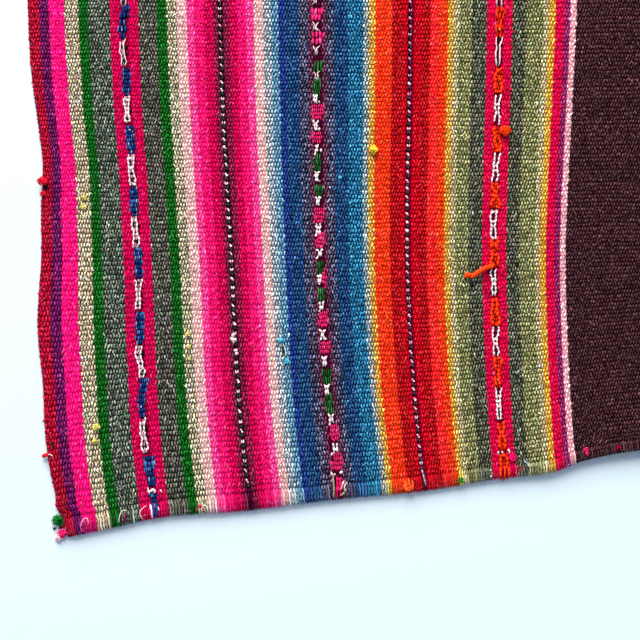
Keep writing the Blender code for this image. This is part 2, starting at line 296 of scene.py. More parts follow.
def smooth_curve(x: Array, y: Array, at: Array) -> Array:
    """Follows points with cubic curves, each slope taken from the point's neighbours.

    Args:
        x: where the points are, rising.
        y: a value, or a row of values, for each point.
        at: the places to read.

    Returns:
        The value, or the row of values, at each place.
    """
    slope = np.gradient(y, x, axis=0)
    at = np.clip(np.asarray(at, float), x[0], x[-1])
    i = np.clip(np.searchsorted(x, at, side="right") - 1, 0, len(x) - 2)
    step = x[i + 1] - x[i]
    u = (at - x[i]) / step
    if y.ndim > 1:
        u, step = u[..., None], step[..., None]
    start = (1 + 2 * u) * (1 - u) ** 2 * y[i] + u * (1 - u) ** 2 * step * slope[i]
    stop = u**2 * (3 - 2 * u) * y[i + 1] + u**2 * (u - 1) * step * slope[i + 1]
    return start + stop


def smooth_through(rows: tuple, column: str, at: Array) -> Array:
    """Reads a table's column as a smooth curve over its first one, which is in millimetres.

    Args:
        rows: the table.
        column: the name of the column to read.
        at: places in metres.

    Returns:
        The column's value at each place.
    """
    x = np.array([row[0] for row in rows], float) * MM
    return smooth_curve(x, np.array([getattr(row, column) for row in rows], float), at)


def smooth_path(points: Array, count: int) -> Array:
    """Runs a smooth curve through rows of values and reads it at a number of even steps."""
    points = np.asarray(points, float)
    return smooth_curve(np.arange(len(points)), points, np.linspace(0, len(points) - 1, count))


def mixed(first: Array, second: Array, share: Array) -> Array:
    """Mixes two colours by the second one's share."""
    return first * (1 - share) + second * share


def fading(distance: Array, reach: float, power: float) -> Array:
    """Is 1 at an end and falls smoothly to 0 at the given reach."""
    return np.clip(1 - distance / reach, 0, 1) ** power


def pick_place(pick: Array) -> Array:
    """Distance along the warp of a pick: an even pitch, loosened towards the front end."""
    even = np.asarray(pick, float) * PICK_PITCH
    return even + LOOSENING * np.tanh(even / LOOSENING_REACH)


def pick_at(along: Array) -> Array:
    """The pick, with its fraction, at a distance along the warp: pick_place read backwards."""
    picks = np.arange(-8, int(PANEL_LENGTH / PICK_PITCH) + 8, 0.5)
    return np.interp(along, pick_place(picks), picks)


def row_wave(across: Array, along: Array) -> Array:
    """How far the rows of picks wander along the warp: three crossed sines.

    Args:
        across: distances across.
        along: distances along.

    Returns:
        The shifts, in metres.
    """
    wide = np.sin(across / (7.1 * MM) + 1.7 * np.sin(along / (23 * MM)))
    small = np.sin(across / (2.9 * MM) - along / (9.3 * MM) + 0.8)
    long = np.sin(across / (31 * MM) + along / (47 * MM))
    return (0.17 * wide + 0.10 * small + 0.35 * long) * MM


# How far the stripes wander sideways: at a distance along, shifts at the inner SWAY_PLACES
SWAY_PLACES = (0, 12, 36, 55, 78, 101, 130)
Sway = namedtuple("Sway", "along shifts")
LEFT_SWAY = table(Sway,
    (5, (-0.1, 0.3, 0.4, 0.5, 0.5)), (17, (-0.2, 0, 0.2, 0.4, 0.3)), (26, (-0.2, 0, 0.1, 0.15, 0.1)),
    (35, (0, 0.1, 0.1, 0.1, 0.1)), (45, (0.2, 0.2, 0.15, 0.15, 0)), (54, (0.25, 0.15, 0.1, 0, 0)),
    (64, (0.25, 0.1, 0, -0.1, -0.05)), (73, (0.25, -0.2, -0.15, -0.1, -0.1)),
    (82, (0.25, -0.3, -0.35, -0.15, -0.1)), (92, (-0.2, -0.4, -0.5, -0.1, 0)),
    (101, (-0.4, -0.55, -0.45, 0, 0)), (160, (0, 0, 0, 0, 0)),
)
RIGHT_SWAY = table(Sway,
    (10, (0.2, 0.1, -0.2, -0.3, -0.2)), (90, (-0.1, -0.3, 0.1, 0.3, 0.2)), (180, (0, 0, 0, 0, 0)),
)


def swaying(sways: tuple, across: Array, along: Array) -> Array:
    """Reads a table of sideways shifts, straight between its rows and columns.

    Args:
        sways: the table.
        across: distances across.
        along: distances along.

    Returns:
        The shifts, in metres.
    """
    rows = [row.along * MM for row in sways]
    columns = np.array([(0, *row.shifts, 0) for row in sways], float).T
    shifts = np.stack([np.interp(along, rows, column) for column in columns])
    at = np.interp(across, np.array(SWAY_PLACES) * MM, np.arange(len(SWAY_PLACES)))
    first = np.clip(at.astype(int), 0, len(SWAY_PLACES) - 2)
    lower = np.take_along_axis(shifts, first[None], 0)[0]
    upper = np.take_along_axis(shifts, first[None] + 1, 0)[0]
    return (lower + (upper - lower) * (at - first)) * MM


@dataclass(frozen=True)
class PanelShape:
    """The true shape in which one woven panel lies.

    side is -1 for the left panel and 1 for the right one, and middle_x and middle_y are
    where the cloth's middle is in the frame.
    """

    name: str
    side: int
    front: tuple
    back: tuple
    selvedge: tuple
    sways: tuple
    middle_x: float
    middle_y: float

    def plan(self, across: Array, along: Array) -> tuple[Array, Array]:
        """Where a point of the weave lies, seen from above, from the middle of the cloth.

        Args:
            across: distance from the outer selvedge.
            along: distance from the front end.

        Returns:
            x and y, each like across.
        """
        across, along = np.broadcast_arrays(across, along)
        across = across + swaying(self.sways, across, along)
        from_back = PANEL_LENGTH - along
        spread = np.clip((along - FAN_START) / (FAN_STOP - FAN_START), 0, 1) ** FAN_SKEW
        fan = smooth_through(self.front, "fan", across) * FAN_SHIFT
        pull = smooth_through(self.selvedge, "inset", along) * MM
        inwards = across + fan * np.sin(np.pi * spread) ** 2
        inwards = inwards + pull * np.exp(-np.maximum(across, 0) / SELVEDGE_REACH)
        front_lean = smooth_through(self.front, "lean", across) * MM
        back_lean = smooth_through(self.back, "lean", across) * MM
        inwards = inwards + front_lean * fading(along, LEAN_REACH, LEAN_FADE)
        inwards = inwards + back_lean * fading(from_back, LEAN_REACH, LEAN_FADE)
        front_drop = smooth_through(self.front, "drop", across) * MM
        back_drop = smooth_through(self.back, "drop", across) * MM
        y = along - PANEL_LENGTH / 2 - front_drop * fading(along, END_REACH, END_FADE)
        y = y + back_drop * fading(from_back, END_REACH, END_FADE)
        return self.side * (PANEL_WIDTH + SEAM_GAP / 2 - inwards), y

    def place(self, across: Array, along: Array, above: Array) -> Array:
        """Puts points of the weave into the frame.

        Args:
            across: distance from the outer selvedge.
            along: distance from the front end.
            above: height above the cloth's underside.

        Returns:
            The points, with x, y and z on the last axis.
        """
        across, along, above = np.broadcast_arrays(across, along, above)
        x, y = self.plan(across, along)
        z = underside(x, y) + above
        return np.stack((x + self.middle_x, y + self.middle_y, z), axis=-1)

    def thickness(self, across: Array, along: Array) -> Array:
        """The cloth's thickness, less at its selvedge, its ends and the crease beside them.

        Args:
            across: distances across.
            along: distances along.

        Returns:
            The thickness at each place.
        """
        from_end = np.minimum(along, PANEL_LENGTH - along) / MM
        at_end = np.interp(from_end, HEADING_PLACES, HEADING_SHARES)
        at_side = np.interp(across / MM, SELVEDGE_PLACES, SELVEDGE_SHARES)
        return np.minimum(at_end, at_side) * CLOTH_THICKNESS / FULL_WEIGHT

    def locate(self, x: Array, y: Array) -> tuple[Array, Array]:
        """Reads plan backwards, by correcting a first guess step by step.

        Args:
            x: places in the frame.
            y: places in the frame.

        Returns:
            The distances across and along the weave.
        """
        x = np.asarray(x, float) - self.middle_x
        y = np.asarray(y, float) - self.middle_y
        across = PANEL_WIDTH - self.side * x
        along = y + PANEL_LENGTH / 2
        for _ in range(LOCATE_STEPS):
            found_x, found_y = self.plan(across, along)
            across = across - LOCATE_PACE * self.side * (x - found_x)
            along = along + LOCATE_PACE * (y - found_y)
        return across, along


def underside(x: Array, y: Array) -> Array:
    """Height of the cloth's underside: nought, but for soft compact ripples.

    Each ripple is an oval hump, one less the squares of the scaled distances, squared.

    Args:
        x: places from the cloth's middle.
        y: places from the cloth's middle.

    Returns:
        The height at each place.
    """
    height = np.zeros_like(np.asarray(x, float))
    for ripple in RIPPLES:
        turn = np.radians(ripple.turn_degrees)
        dx, dy = x - ripple.x * MM, y - ripple.y * MM
        along = (dx * np.cos(turn) + dy * np.sin(turn)) / (ripple.half_length * MM)
        across = (dy * np.cos(turn) - dx * np.sin(turn)) / (ripple.half_width * MM)
        height += ripple.height * MM * np.clip(1 - along**2 - across**2, 0, 1) ** 2
    return height


class Graph:
    """Puts shader nodes into a new material and links them."""

    def __init__(self, name: str) -> None:
        """Starts a material with one Principled shader."""
        self.material = bpy.data.materials.new(name)
        self.material.use_nodes = True
        self.tree = self.material.node_tree
        self.shader = self.tree.nodes["Principled BSDF"]

    def node(self, kind: str, inputs: dict | None = None, **settings) -> Node:
        """Adds a node.

        Args:
            kind: the node's type.
            inputs: sockets to link, or values to set, by socket name or number.
            settings: the node's own settings.

        Returns:
            The node.
        """
        made = self.tree.nodes.new(kind)
        for key, value in settings.items():
            setattr(made, key, value)
        for key, value in (inputs or {}).items():
            if isinstance(value, NodeSocket):
                self.tree.links.new(value, made.inputs[key])
            else:
                made.inputs[key].default_value = value
        return made

    def math(self, operation: str, *values) -> NodeSocket:
        """One step of arithmetic on sockets or numbers."""
        made = self.node("ShaderNodeMath", dict(enumerate(values)), operation=operation)
        return made.outputs[0]

    def scaled(self, value, less, times: float) -> NodeSocket:
        """A value, less an amount and then times a factor."""
        return self.math("MULTIPLY", self.math("SUBTRACT", value, less), times)

    def blend(self, share, first, second, kind: str = "MIX") -> NodeSocket:
        """Mixes two colours by a share."""
        inputs = {0: share, 6: first, 7: second}
        made = self.node("ShaderNodeMix", inputs, data_type="RGBA", blend_type=kind, clamp_result=True)
        return made.outputs[2]

    def smooth(self, value, low: float, high: float) -> NodeSocket:
        """A soft step from 0 to 1 as value goes from low to high."""
        inputs = {0: value, 1: low, 2: high}
        return self.node("ShaderNodeMapRange", inputs, interpolation_type="SMOOTHSTEP").outputs[0]

    def noise(self, where, scale: float, detail: float = 2.0) -> NodeSocket:
        """Soft noise, around a half."""
        inputs = {"Vector": where, "Scale": scale, "Detail": detail, "Roughness": 0.6}
        return self.node("ShaderNodeTexNoise", inputs).outputs["Fac"]

    def finish(self, colour, height, depth: float, roughness: float) -> Material:
        """Sets the shader for wool.

        Args:
            colour: socket of the base colour.
            height: socket of the relief, from 0 to 1.
            depth: the relief's depth in metres.
            roughness: the surface's roughness.

        Returns:
            The finished material.
        """
        bump = self.node("ShaderNodeBump", {"Height": height, "Distance": depth, "Strength": 1.0})
        self.tree.links.new(colour, self.shader.inputs["Base Color"])
        self.tree.links.new(bump.outputs[0], self.shader.inputs["Normal"])
        self.shader.inputs["Roughness"].default_value = roughness
        self.shader.inputs["Specular IOR Level"].default_value = 0.0
        return self.material


@dataclass(frozen=True)
class WovenFinish:
    """Warp-faced weave on a sheet: floats two ends wide, in rows set off by half.

    float_width and float_length are half a float's sizes, in ends and picks, and sway how
    far the picks wander, in picks. fibre is how much fine fibres lighten and darken a float,
    and dimming how much of its mottle a float takes.
    """

    name: str = "warp_faced_weave"
    float_width: float = 0.74
    float_length: float = 0.54
    slant: float = 0.10
    relief: float = 0.28 * MM
    sway: float = 0.7
    sway_scale: float = 260.0
    fibre: float = 0.28
    fibre_scale: float = 3800.0
    dimming: float = 0.9
    roughness: float = 0.88

    def lattice(self, graph: Graph, u, v, phase: int) -> tuple:
        """One half of the floats: those on even ends and picks, or those on odd ones.

        A float's body is one less the squares of the scaled distances from its middle.

        Args:
            graph: the material's graph.
            u: socket of the end.
            v: socket of the pick.
            phase: 0 for even ends and picks, 1 for odd.

        Returns:
            Sockets of the body and of a random number for each float.
        """
        cell_u, cell_v = (graph.scaled(value, 0.5 + phase, 0.5) for value in (u, v))
        at_u, at_v = graph.math("ROUND", cell_u), graph.math("ROUND", cell_v)
        du, dv = graph.scaled(cell_u, at_u, 2.0), graph.scaled(cell_v, at_v, 2.0)
        du = graph.math("SUBTRACT", du, graph.math("MULTIPLY", dv, self.slant))
        du = graph.math("MULTIPLY", du, 1 / self.float_width)
        dv = graph.math("MULTIPLY", dv, 1 / self.float_length)
        round_part = graph.math("ADD", graph.math("MULTIPLY", du, du), graph.math("MULTIPLY", dv, dv))
        body = graph.math("SUBTRACT", 1.0, round_part)
        which = graph.node("ShaderNodeCombineXYZ", {0: at_u, 1: at_v, 2: float(phase)}).outputs[0]
        chance = graph.node("ShaderNodeTexWhiteNoise", {"Vector": which}, noise_dimensions="3D")
        return body, chance.outputs["Value"]

    def make(self) -> Material:
        """Builds the material, from the UV map of ends and picks and the two colour attributes: the lit wool
        and the deep colour, dark weft with painted shade.

        Returns:
            The material.
        """
        graph = Graph(self.name)
        weave = graph.node("ShaderNodeUVMap", uv_map="weave").outputs[0]
        parts = graph.node("ShaderNodeSeparateXYZ", {0: weave})
        place = graph.node("ShaderNodeTexCoord").outputs["Object"]
        sway = graph.scaled(graph.noise(place, self.sway_scale), 0.5, self.sway)
        u, v = parts.outputs[0], graph.math("ADD", parts.outputs[1], sway)
        first, first_chance = self.lattice(graph, u, v, 0)
        second, second_chance = self.lattice(graph, u, v, 1)
        over = graph.math("GREATER_THAN", second, first)
        body = graph.math("MAXIMUM", graph.math("MAXIMUM", first, second), 0.0)
        chance = graph.node("ShaderNodeMix", {0: over, 2: first_chance, 3: second_chance}).outputs[0]
        dye_and_painted_light = graph.node("ShaderNodeAttribute", attribute_name="dye_and_painted_light")
        gap = graph.node("ShaderNodeAttribute", attribute_name="gap")
        fuller = graph.scaled(gap.outputs["Alpha"], 0.5, 2.0)
        lit = graph.smooth(graph.math("ADD", body, fuller), 0.08, 0.62)
        dimmed = graph.math("MULTIPLY", graph.math("MULTIPLY", chance, dye_and_painted_light.outputs["Alpha"]), self.dimming)
        fibre = graph.math("MULTIPLY", graph.noise(place, self.fibre_scale, 3.0), self.fibre)
        lit = graph.math("MULTIPLY", lit, graph.math("SUBTRACT", 1.0, dimmed))
        lit = graph.math("SUBTRACT", lit, graph.math("SUBTRACT", fibre, self.fibre / 2))
        share = graph.math("MINIMUM", graph.math("MAXIMUM", lit, 0.0), 1.0)
        # Lit wool on the floats, the deep colour between them: dark weft with painted shade
        colour = graph.blend(share, gap.outputs["Color"], dye_and_painted_light.outputs["Color"])
        height = graph.math("ADD", graph.math("SQRT", body), graph.math("MULTIPLY", fibre, 0.5))
        return graph.finish(colour, height, self.relief, self.roughness)


@dataclass(frozen=True)
class YarnFinish:
    """Handspun wool on floats, strands and hairs, coloured by their own attribute."""

    name: str = "handspun_yarn"
    fibre_scale: float = 3600.0
    fibre_contrast: float = 3.2
    patch_scale: float = 420.0
    patch_contrast: float = 0.5
    relief: float = 0.05 * MM
    roughness: float = 0.86

    def make(self) -> Material:
        """Builds the material: the attribute's colour, painted light and shade included, with fine fibres
        lighter and darker along it.

        Returns:
            The material.
        """
        graph = Graph(self.name)
        place = graph.node("ShaderNodeTexCoord").outputs["Object"]
        dye_and_painted_light = graph.node("ShaderNodeAttribute", attribute_name="dye_and_painted_light").outputs["Color"]
        fibre = graph.noise(place, self.fibre_scale, 3.0)
        patch = graph.noise(place, self.patch_scale, 1.0)
        shade = graph.math("ADD", graph.scaled(fibre, 0.5, self.fibre_contrast), 1.0)
        shade = graph.math("ADD", shade, graph.scaled(patch, 0.5, self.patch_contrast))
        grey = graph.node("ShaderNodeCombineColor", {0: shade, 1: shade, 2: shade}).outputs[0]
        colour = graph.blend(1.0, dye_and_painted_light, grey, "MULTIPLY")
        return graph.finish(colour, fibre, self.relief, self.roughness)


class Skein:
    """Gathers closed grains, tubes and sheets as whole arrays, and makes one mesh of them."""

    def __init__(self) -> None:
        """Starts with nothing."""
        self.points: list[Array] = []
        self.colours: list[Array] = []
        self.loops: list[Array] = []
        self.sizes: list[Array] = []
        self.count = 0

    def add(self, points: Array, colours: Array, faces: list[Array]) -> None:
        """Adds closed shapes.

        Args:
            points: (points, 3).
            colours: (points, 3), linear.
            faces: for each size of face, an array of point numbers, one face a row.
        """
        self.points.append(points)
        self.colours.append(colours)
        for group in faces:
            self.loops.append((group + self.count).ravel())
            self.sizes.append(np.full(len(group), group.shape[1]))
        self.count += len(points)

    def triangles(self) -> int:
        """How many triangles the faces come to."""
        return int(sum((sizes - 2).sum() for sizes in self.sizes))

    def make(self, name: str, material: Material, slot: str) -> Object:
        """Makes the object, smooth shaded, with its colours, painted shade and highlights included, as the
        attribute "dye_and_painted_light".

        Args:
            name: the piece's name.
            material: its material.
            slot: not used.

        Returns:
            The object, riding on the cloth.
        """
        made = mesh_object(name, *map(np.concatenate, (self.points, self.loops, self.sizes)))
        rgba = np.ones((self.count, 4), np.float32)
        rgba[:, :3] = np.concatenate(self.colours)
        dye_and_painted_light = made.data.attributes.new("dye_and_painted_light", "FLOAT_COLOR", "POINT")
        dye_and_painted_light.data.foreach_set("color", rgba.ravel())
        made.data.materials.append(material)
        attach(made, "root")
        LOG.info("%s: %d triangles", name, self.triangles())
        return made


def mesh_object(name: str, points: Array, loops: Array, sizes: Array) -> Object:
    """Makes a smooth shaded mesh object at the origin.

    Args:
        name: the object's name.
        points: (points, 3).
        loops: the faces' point numbers, one after another.
        sizes: how many of them each face has.

    Returns:
        The object, linked to the scene.
    """
    mesh = bpy.data.meshes.new(name)
    mesh.vertices.add(len(points))
    mesh.loops.add(len(loops))
    mesh.polygons.add(len(sizes))
    mesh.vertices.foreach_set("co", points.astype(np.float32).ravel())
    mesh.loops.foreach_set("vertex_index", loops.astype(np.int32))
    starts = np.concatenate(([0], np.cumsum(sizes)[:-1]))
    mesh.polygons.foreach_set("loop_start", starts.astype(np.int32))
    mesh.update(calc_edges=True)
    mesh.shade_smooth()
    made = bpy.data.objects.new(name, mesh)
    bpy.context.scene.collection.objects.link(made)
    return made


# A grain's points: two tips and two rings of left, crown and right, with its closed faces
GRAIN_POINTS = np.array((
    (0.0, -1.0, 0.0), (-1.0, -0.5, 0.0), (0.0, -0.45, 1.0), (1.0, -0.5, 0.0),
    (-1.0, 0.5, 0.0), (0.0, 0.45, 1.0), (1.0, 0.5, 0.0), (0.0, 1.0, 0.0),
))
GRAIN_QUADS = np.array(((1, 2, 5, 4), (2, 3, 6, 5), (1, 4, 6, 3)))
GRAIN_TRIANGLES = np.array(((0, 2, 1), (0, 3, 2), (0, 1, 3), (7, 4, 5), (7, 5, 6), (7, 6, 4)))
# Share of the deep colour at each point: painted shade, darkest at the tips, less on the rims, none on the
# crown
GRAIN_PAINTED_SHADE = np.array((1.0, 0.80, 0.0, 0.80, 0.80, 0.0, 0.80, 1.0))


@dataclass
class Grains:
    """Many small raised floats: spindle shapes with a crown, lying on a panel.

    All are arrays of one length, in metres but for slant, which is how far a float's far
    end leans across for each metre along. sink is how far its rim is below the cloth's top.
    Each point's colour is painted shade, bright towards deep, and painted_shade_jitter is how
    unevenly it falls on each point of a float.
    """

    across: Array
    along: Array
    half_width: Array
    half_length: Array
    height: Array
    slant: Array
    sink: Array
    bright: Array
    deep: Array
    dice: np.random.Generator
    painted_shade_jitter: float = 0.28

    def add_to(self, skein: Skein, panel: PanelShape) -> None:
        """Places the grains on a panel.

        Args:
            skein: where they go.
            panel: the panel's shape.
        """
        du, dv, dh = GRAIN_POINTS.T
        along = self.along[:, None] + dv * self.half_length[:, None]
        across = self.across[:, None] + du * self.half_width[:, None]
        across = across + (along - self.along[:, None]) * self.slant[:, None]
        top = panel.thickness(self.across, self.along)[:, None]
        above = top - self.sink[:, None] + dh * (self.height + self.sink)[:, None]
        points = panel.place(across, along, above).reshape(-1, 3)
        # Painted shade: each point mixes bright towards deep by GRAIN_PAINTED_SHADE, a little unevenly
        uneven = self.dice.normal(0, self.painted_shade_jitter, (len(self.across), len(GRAIN_POINTS), 1))
        share = np.clip(GRAIN_PAINTED_SHADE[None, :, None] + uneven, 0, 1)
        colours = mixed(self.bright[:, None, :], self.deep[:, None, :], share)
        starts = (np.arange(len(self.across)) * len(GRAIN_POINTS))[:, None, None]
        quads = (starts + GRAIN_QUADS).reshape(-1, 4)
        triangles = (starts + GRAIN_TRIANGLES).reshape(-1, 3)
        if panel.side > 0:
            quads, triangles = quads[:, ::-1], triangles[:, ::-1]
        skein.add(points, colours.reshape(-1, 3), [quads, triangles])


def directions(paths: Array) -> tuple[Array, Array]:
    """The unit vectors sideways and upwards of paths, square to the way that they run.

    Args:
        paths: points, with the stations on the last axis but one.

    Returns:
        The vectors, each like paths.
    """
    forward = np.gradient(paths, axis=-2)
    forward /= np.linalg.norm(forward, axis=-1, keepdims=True) + 1e-12
    sideways = np.cross(forward, (0.0, 0.0, 1.0))
    steep = np.linalg.norm(sideways, axis=-1, keepdims=True)
    sideways = np.where(steep > 1e-3, sideways / (steep + 1e-12), (1.0, 0.0, 0.0))
    return sideways, np.cross(sideways, forward)


def add_tubes(skein: Skein, paths: Array, radii: Array, colours: Array, sides: int) -> None:
    """Adds round yarns, closed at both ends, that follow paths in the frame.

    A ring's point is the path's, plus the radius times cosine of sideways and sine of upwards.

    Args:
        skein: where the yarns go.
        paths: (yarns, stations, 3).
        radii: (yarns, stations).
        colours: (yarns, stations, 3), linear, or (yarns, stations, sides, 3).
        sides: how many sides a yarn has.
    """
    yarns, stations = paths.shape[:2]
    if colours.ndim == 3:
        colours = np.repeat(colours[:, :, None], sides, axis=2)
    sideways, upwards = (vectors[:, :, None] for vectors in directions(paths))
    turn = (np.arange(sides) * 2 * np.pi / sides)[:, None]
    ring = np.cos(turn) * sideways + np.sin(turn) * upwards
    rings = paths[:, :, None, :] + radii[:, :, None, None] * ring
    poles = np.stack((paths[:, 0], paths[:, -1]), axis=1)
    points = np.concatenate((rings.reshape(yarns, -1, 3), poles), axis=1)
    ends = colours[:, (0, -1)].mean(axis=2)
    all_colours = np.concatenate((colours.reshape(yarns, -1, 3), ends), axis=1)
    s, j = np.meshgrid(np.arange(stations - 1), np.arange(sides), indexing="ij")
    a = (s * sides + j).ravel()
    b = (s * sides + (j + 1) % sides).ravel()
    quads = np.stack((a, a + sides, b + sides, b), axis=1)
    first, last = stations * sides, stations * sides + 1
    j = np.arange(sides)
    after = (j + 1) % sides
    shift = (stations - 1) * sides
    start_cap = np.stack((np.full(sides, first), j, after), axis=1)
    stop_cap = np.stack((np.full(sides, last), after + shift, j + shift), axis=1)
    caps = np.concatenate((start_cap, stop_cap))
    starts = (np.arange(yarns) * (stations * sides + 2))[:, None, None]
    faces = [(starts + quads).reshape(-1, 4), (starts + caps).reshape(-1, 3)]
    skein.add(points.reshape(-1, 3), all_colours.reshape(-1, 3), faces)


@dataclass
class YarnPiece:
    """Yarns that are one piece. Each kind's lay says how they go."""

    name: str

    slot = "striped_wool"

    def __post_init__(self) -> None:
        """Starts with no yarns."""
        self.skein = Skein()

    def lay(self) -> None:
        """Adds the yarns to the skein."""
        raise NotImplementedError

    def make(self, material: Material) -> Object:
        """Lays the yarns and makes the piece.

        Args:
            material: the yarns' material.

        Returns:
            The piece, riding on the cloth.
        """
        self.lay()
        return self.skein.make(self.name, material, self.slot)


def dye_rows(wools: list[Wool]) -> tuple[Array, Array, Array]:
    """The bright colours, deep colours and mottles of wools, one row each."""
    bright = np.array([linear_rgb(wool.value.bright) for wool in wools])
    deep = np.array([linear_rgb(wool.value.deep) for wool in wools])
    return bright, deep, np.array([wool.value.mottle for wool in wools])


def end_wools() -> list[Wool]:
    """The wool of every end of a panel, from the outer selvedge to the seam."""
    band = [stripe.wool for stripe in WARP for _ in range(stripe.ends)]
    return band + [Wool.PAMPA] * (PANEL_ENDS + 1 - len(band))


def figured_ends() -> Array:
    """Whether each end of the band carries a figure in place of plain floats."""
    return np.array([stripe.figure is not Figure.NONE for stripe in WARP for _ in range(stripe.ends)])


@dataclass
class ClothPanel:
    """One panel's cloth: a closed sheet on the solid's folds, striped end by end."""

    shape: PanelShape
    under_floats: float = 0.12 * MM
    rim_height: float = 0.3 * MM
    rim_reach: float = 0.6 * MM
    band_step: float = 4.0 * MM
    ground_step: float = 10.0 * MM
    along_step: float = 5.6 * MM
    far_step: float = 10.0 * MM
    close_reach: float = 140.0 * MM
    end_rows: tuple = (0.0, 0.25, 0.8, 1.6, 2.4, 3.1, 3.5, 3.9, 4.6, 6.5, 9.5)
    edge_columns: tuple = (0.0, 0.2, 0.6, 1.2, 2.0)

    def columns(self) -> Array:
        """Grid lines across the weave, with one on each border between stripes.

        Returns:
            Distances from the outer selvedge.
        """
        borders = BORDERS * END_PITCH
        lines = [np.array(self.edge_columns) * MM]
        for start, stop in zip(borders[:-1], borders[1:]):
            count = max(1, int(np.ceil((stop - start) / self.band_step)))
            lines.append(np.linspace(start, stop, count + 1))
        ground = int((PANEL_WIDTH - borders[-1]) / self.ground_step)
        lines.append(np.linspace(borders[-1], PANEL_WIDTH, ground + 1))
        return np.unique(np.round(np.concatenate(lines), 7))

    def rows(self) -> Array:
        """Grid lines along the weave, close at both ends and where it is seen close up.

        Returns:
            Distances from the front end.
        """
        near = np.array(self.end_rows) * MM
        close = np.arange(near[-1], self.close_reach, self.along_step)
        count = int((PANEL_LENGTH - near[-1] - close[-1]) / self.far_step)
        middle = np.linspace(close[-1], PANEL_LENGTH - near[-1], count + 1)
        return np.concatenate((near[:-1], close[:-1], middle, PANEL_LENGTH - near[-2::-1]))

    def make(self, material: Material) -> Object:
        """Makes the sheet, with the UV map "weave" and the attributes "dye" and "gap".

        Args:
            material: the weave's material.

        Returns:
            The sheet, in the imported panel's place.
        """
        across, along = np.meshgrid(self.columns(), self.rows())
        top = np.maximum(self.shape.thickness(across, along) - self.under_floats, self.rim_height)
        edge = np.minimum(across, np.minimum(along, PANEL_LENGTH - along))
        lowest = self.rim_height * fading(edge, self.rim_reach, 2)
        grids = [self.shape.place(across, along, above).reshape(-1, 3) for above in (top, lowest)]
        points = np.concatenate(grids)
        quads = sheet_faces(*across.shape)
        if self.shape.side > 0:
            quads = quads[:, ::-1]
        name = self.shape.name.replace("panel", "cloth")
        made = mesh_object(name, points, quads.ravel(), np.full(len(quads), 4))
        self.dress(made, across, along, quads)
        made.data.materials.append(material)
        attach(made, "root")
        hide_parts(self.shape.name)
        LOG.info("%s: %d triangles", name, 2 * len(quads))
        return made

    def dress(self, made: Object, across: Array, along: Array, quads: Array) -> None:
        """Gives each corner its end and pick, and each face its stripe's two colours: the lit wool, and the
        deep colour between floats, dark weft with painted shade.

        Args:
            made: the sheet.
            across: grid of distances across.
            along: grid of distances along.
            quads: the sheet's faces.
        """
        ends = np.tile((across / END_PITCH).ravel(), 2)
        picks = np.tile(pick_at(along - row_wave(across, along)).ravel(), 2)
        corners = quads.ravel()
        weave = made.data.uv_layers.new(name="weave")
        uv = np.stack((ends[corners], picks[corners]), axis=1)
        weave.data.foreach_set("uv", uv.astype(np.float32).ravel())
        bright, deep, mottle = dye_rows(end_wools())
        end = np.clip(ends[quads].mean(axis=1).astype(int), 0, len(mottle) - 1)
        plump = np.array([wool.value.plump for wool in end_wools()])
        for attribute, colours, extra in (("dye_and_painted_light", bright, mottle), ("gap", deep, plump / 2)):
            rgba = np.concatenate((colours[end], extra[end][:, None]), axis=1)
            layer = made.data.attributes.new(attribute, "FLOAT_COLOR", "CORNER")
            layer.data.foreach_set("color", np.repeat(rgba, 4, axis=0).astype(np.float32).ravel())


def sheet_faces(rows: int, columns: int) -> Array:
    """The faces of a closed sheet of two grids, the upper one first, facing outwards.

    Args:
        rows: how many rows of points a grid has.
        columns: how many points a row has.

    Returns:
        (faces, 4) point numbers.
    """
    number = np.arange(rows * columns).reshape(rows, columns)
    a, b = number[:-1, :-1].ravel(), number[:-1, 1:].ravel()
    c, d = number[1:, 1:].ravel(), number[1:, :-1].ravel()
    upper = np.stack((a, b, c, d), axis=1)
    lower = upper[:, ::-1] + rows * columns
    border = np.concatenate((number[0, :-1], number[:-1, -1], number[-1, :0:-1], number[:0:-1, 0]))
    after = np.roll(border, -1)
    wall = np.stack((border + rows * columns, after + rows * columns, after, border), axis=1)
    return np.concatenate((upper, lower, wall))


def worn(across: Array, along: Array) -> Array:
    """How bright the wool still is: less on the front corners, which are handled most."""
    near = np.clip(1 - np.hypot(across / WORN_ACROSS, along / WORN_ALONG), 0, 1)
    return 1 - WORN_SHARE * near**0.7


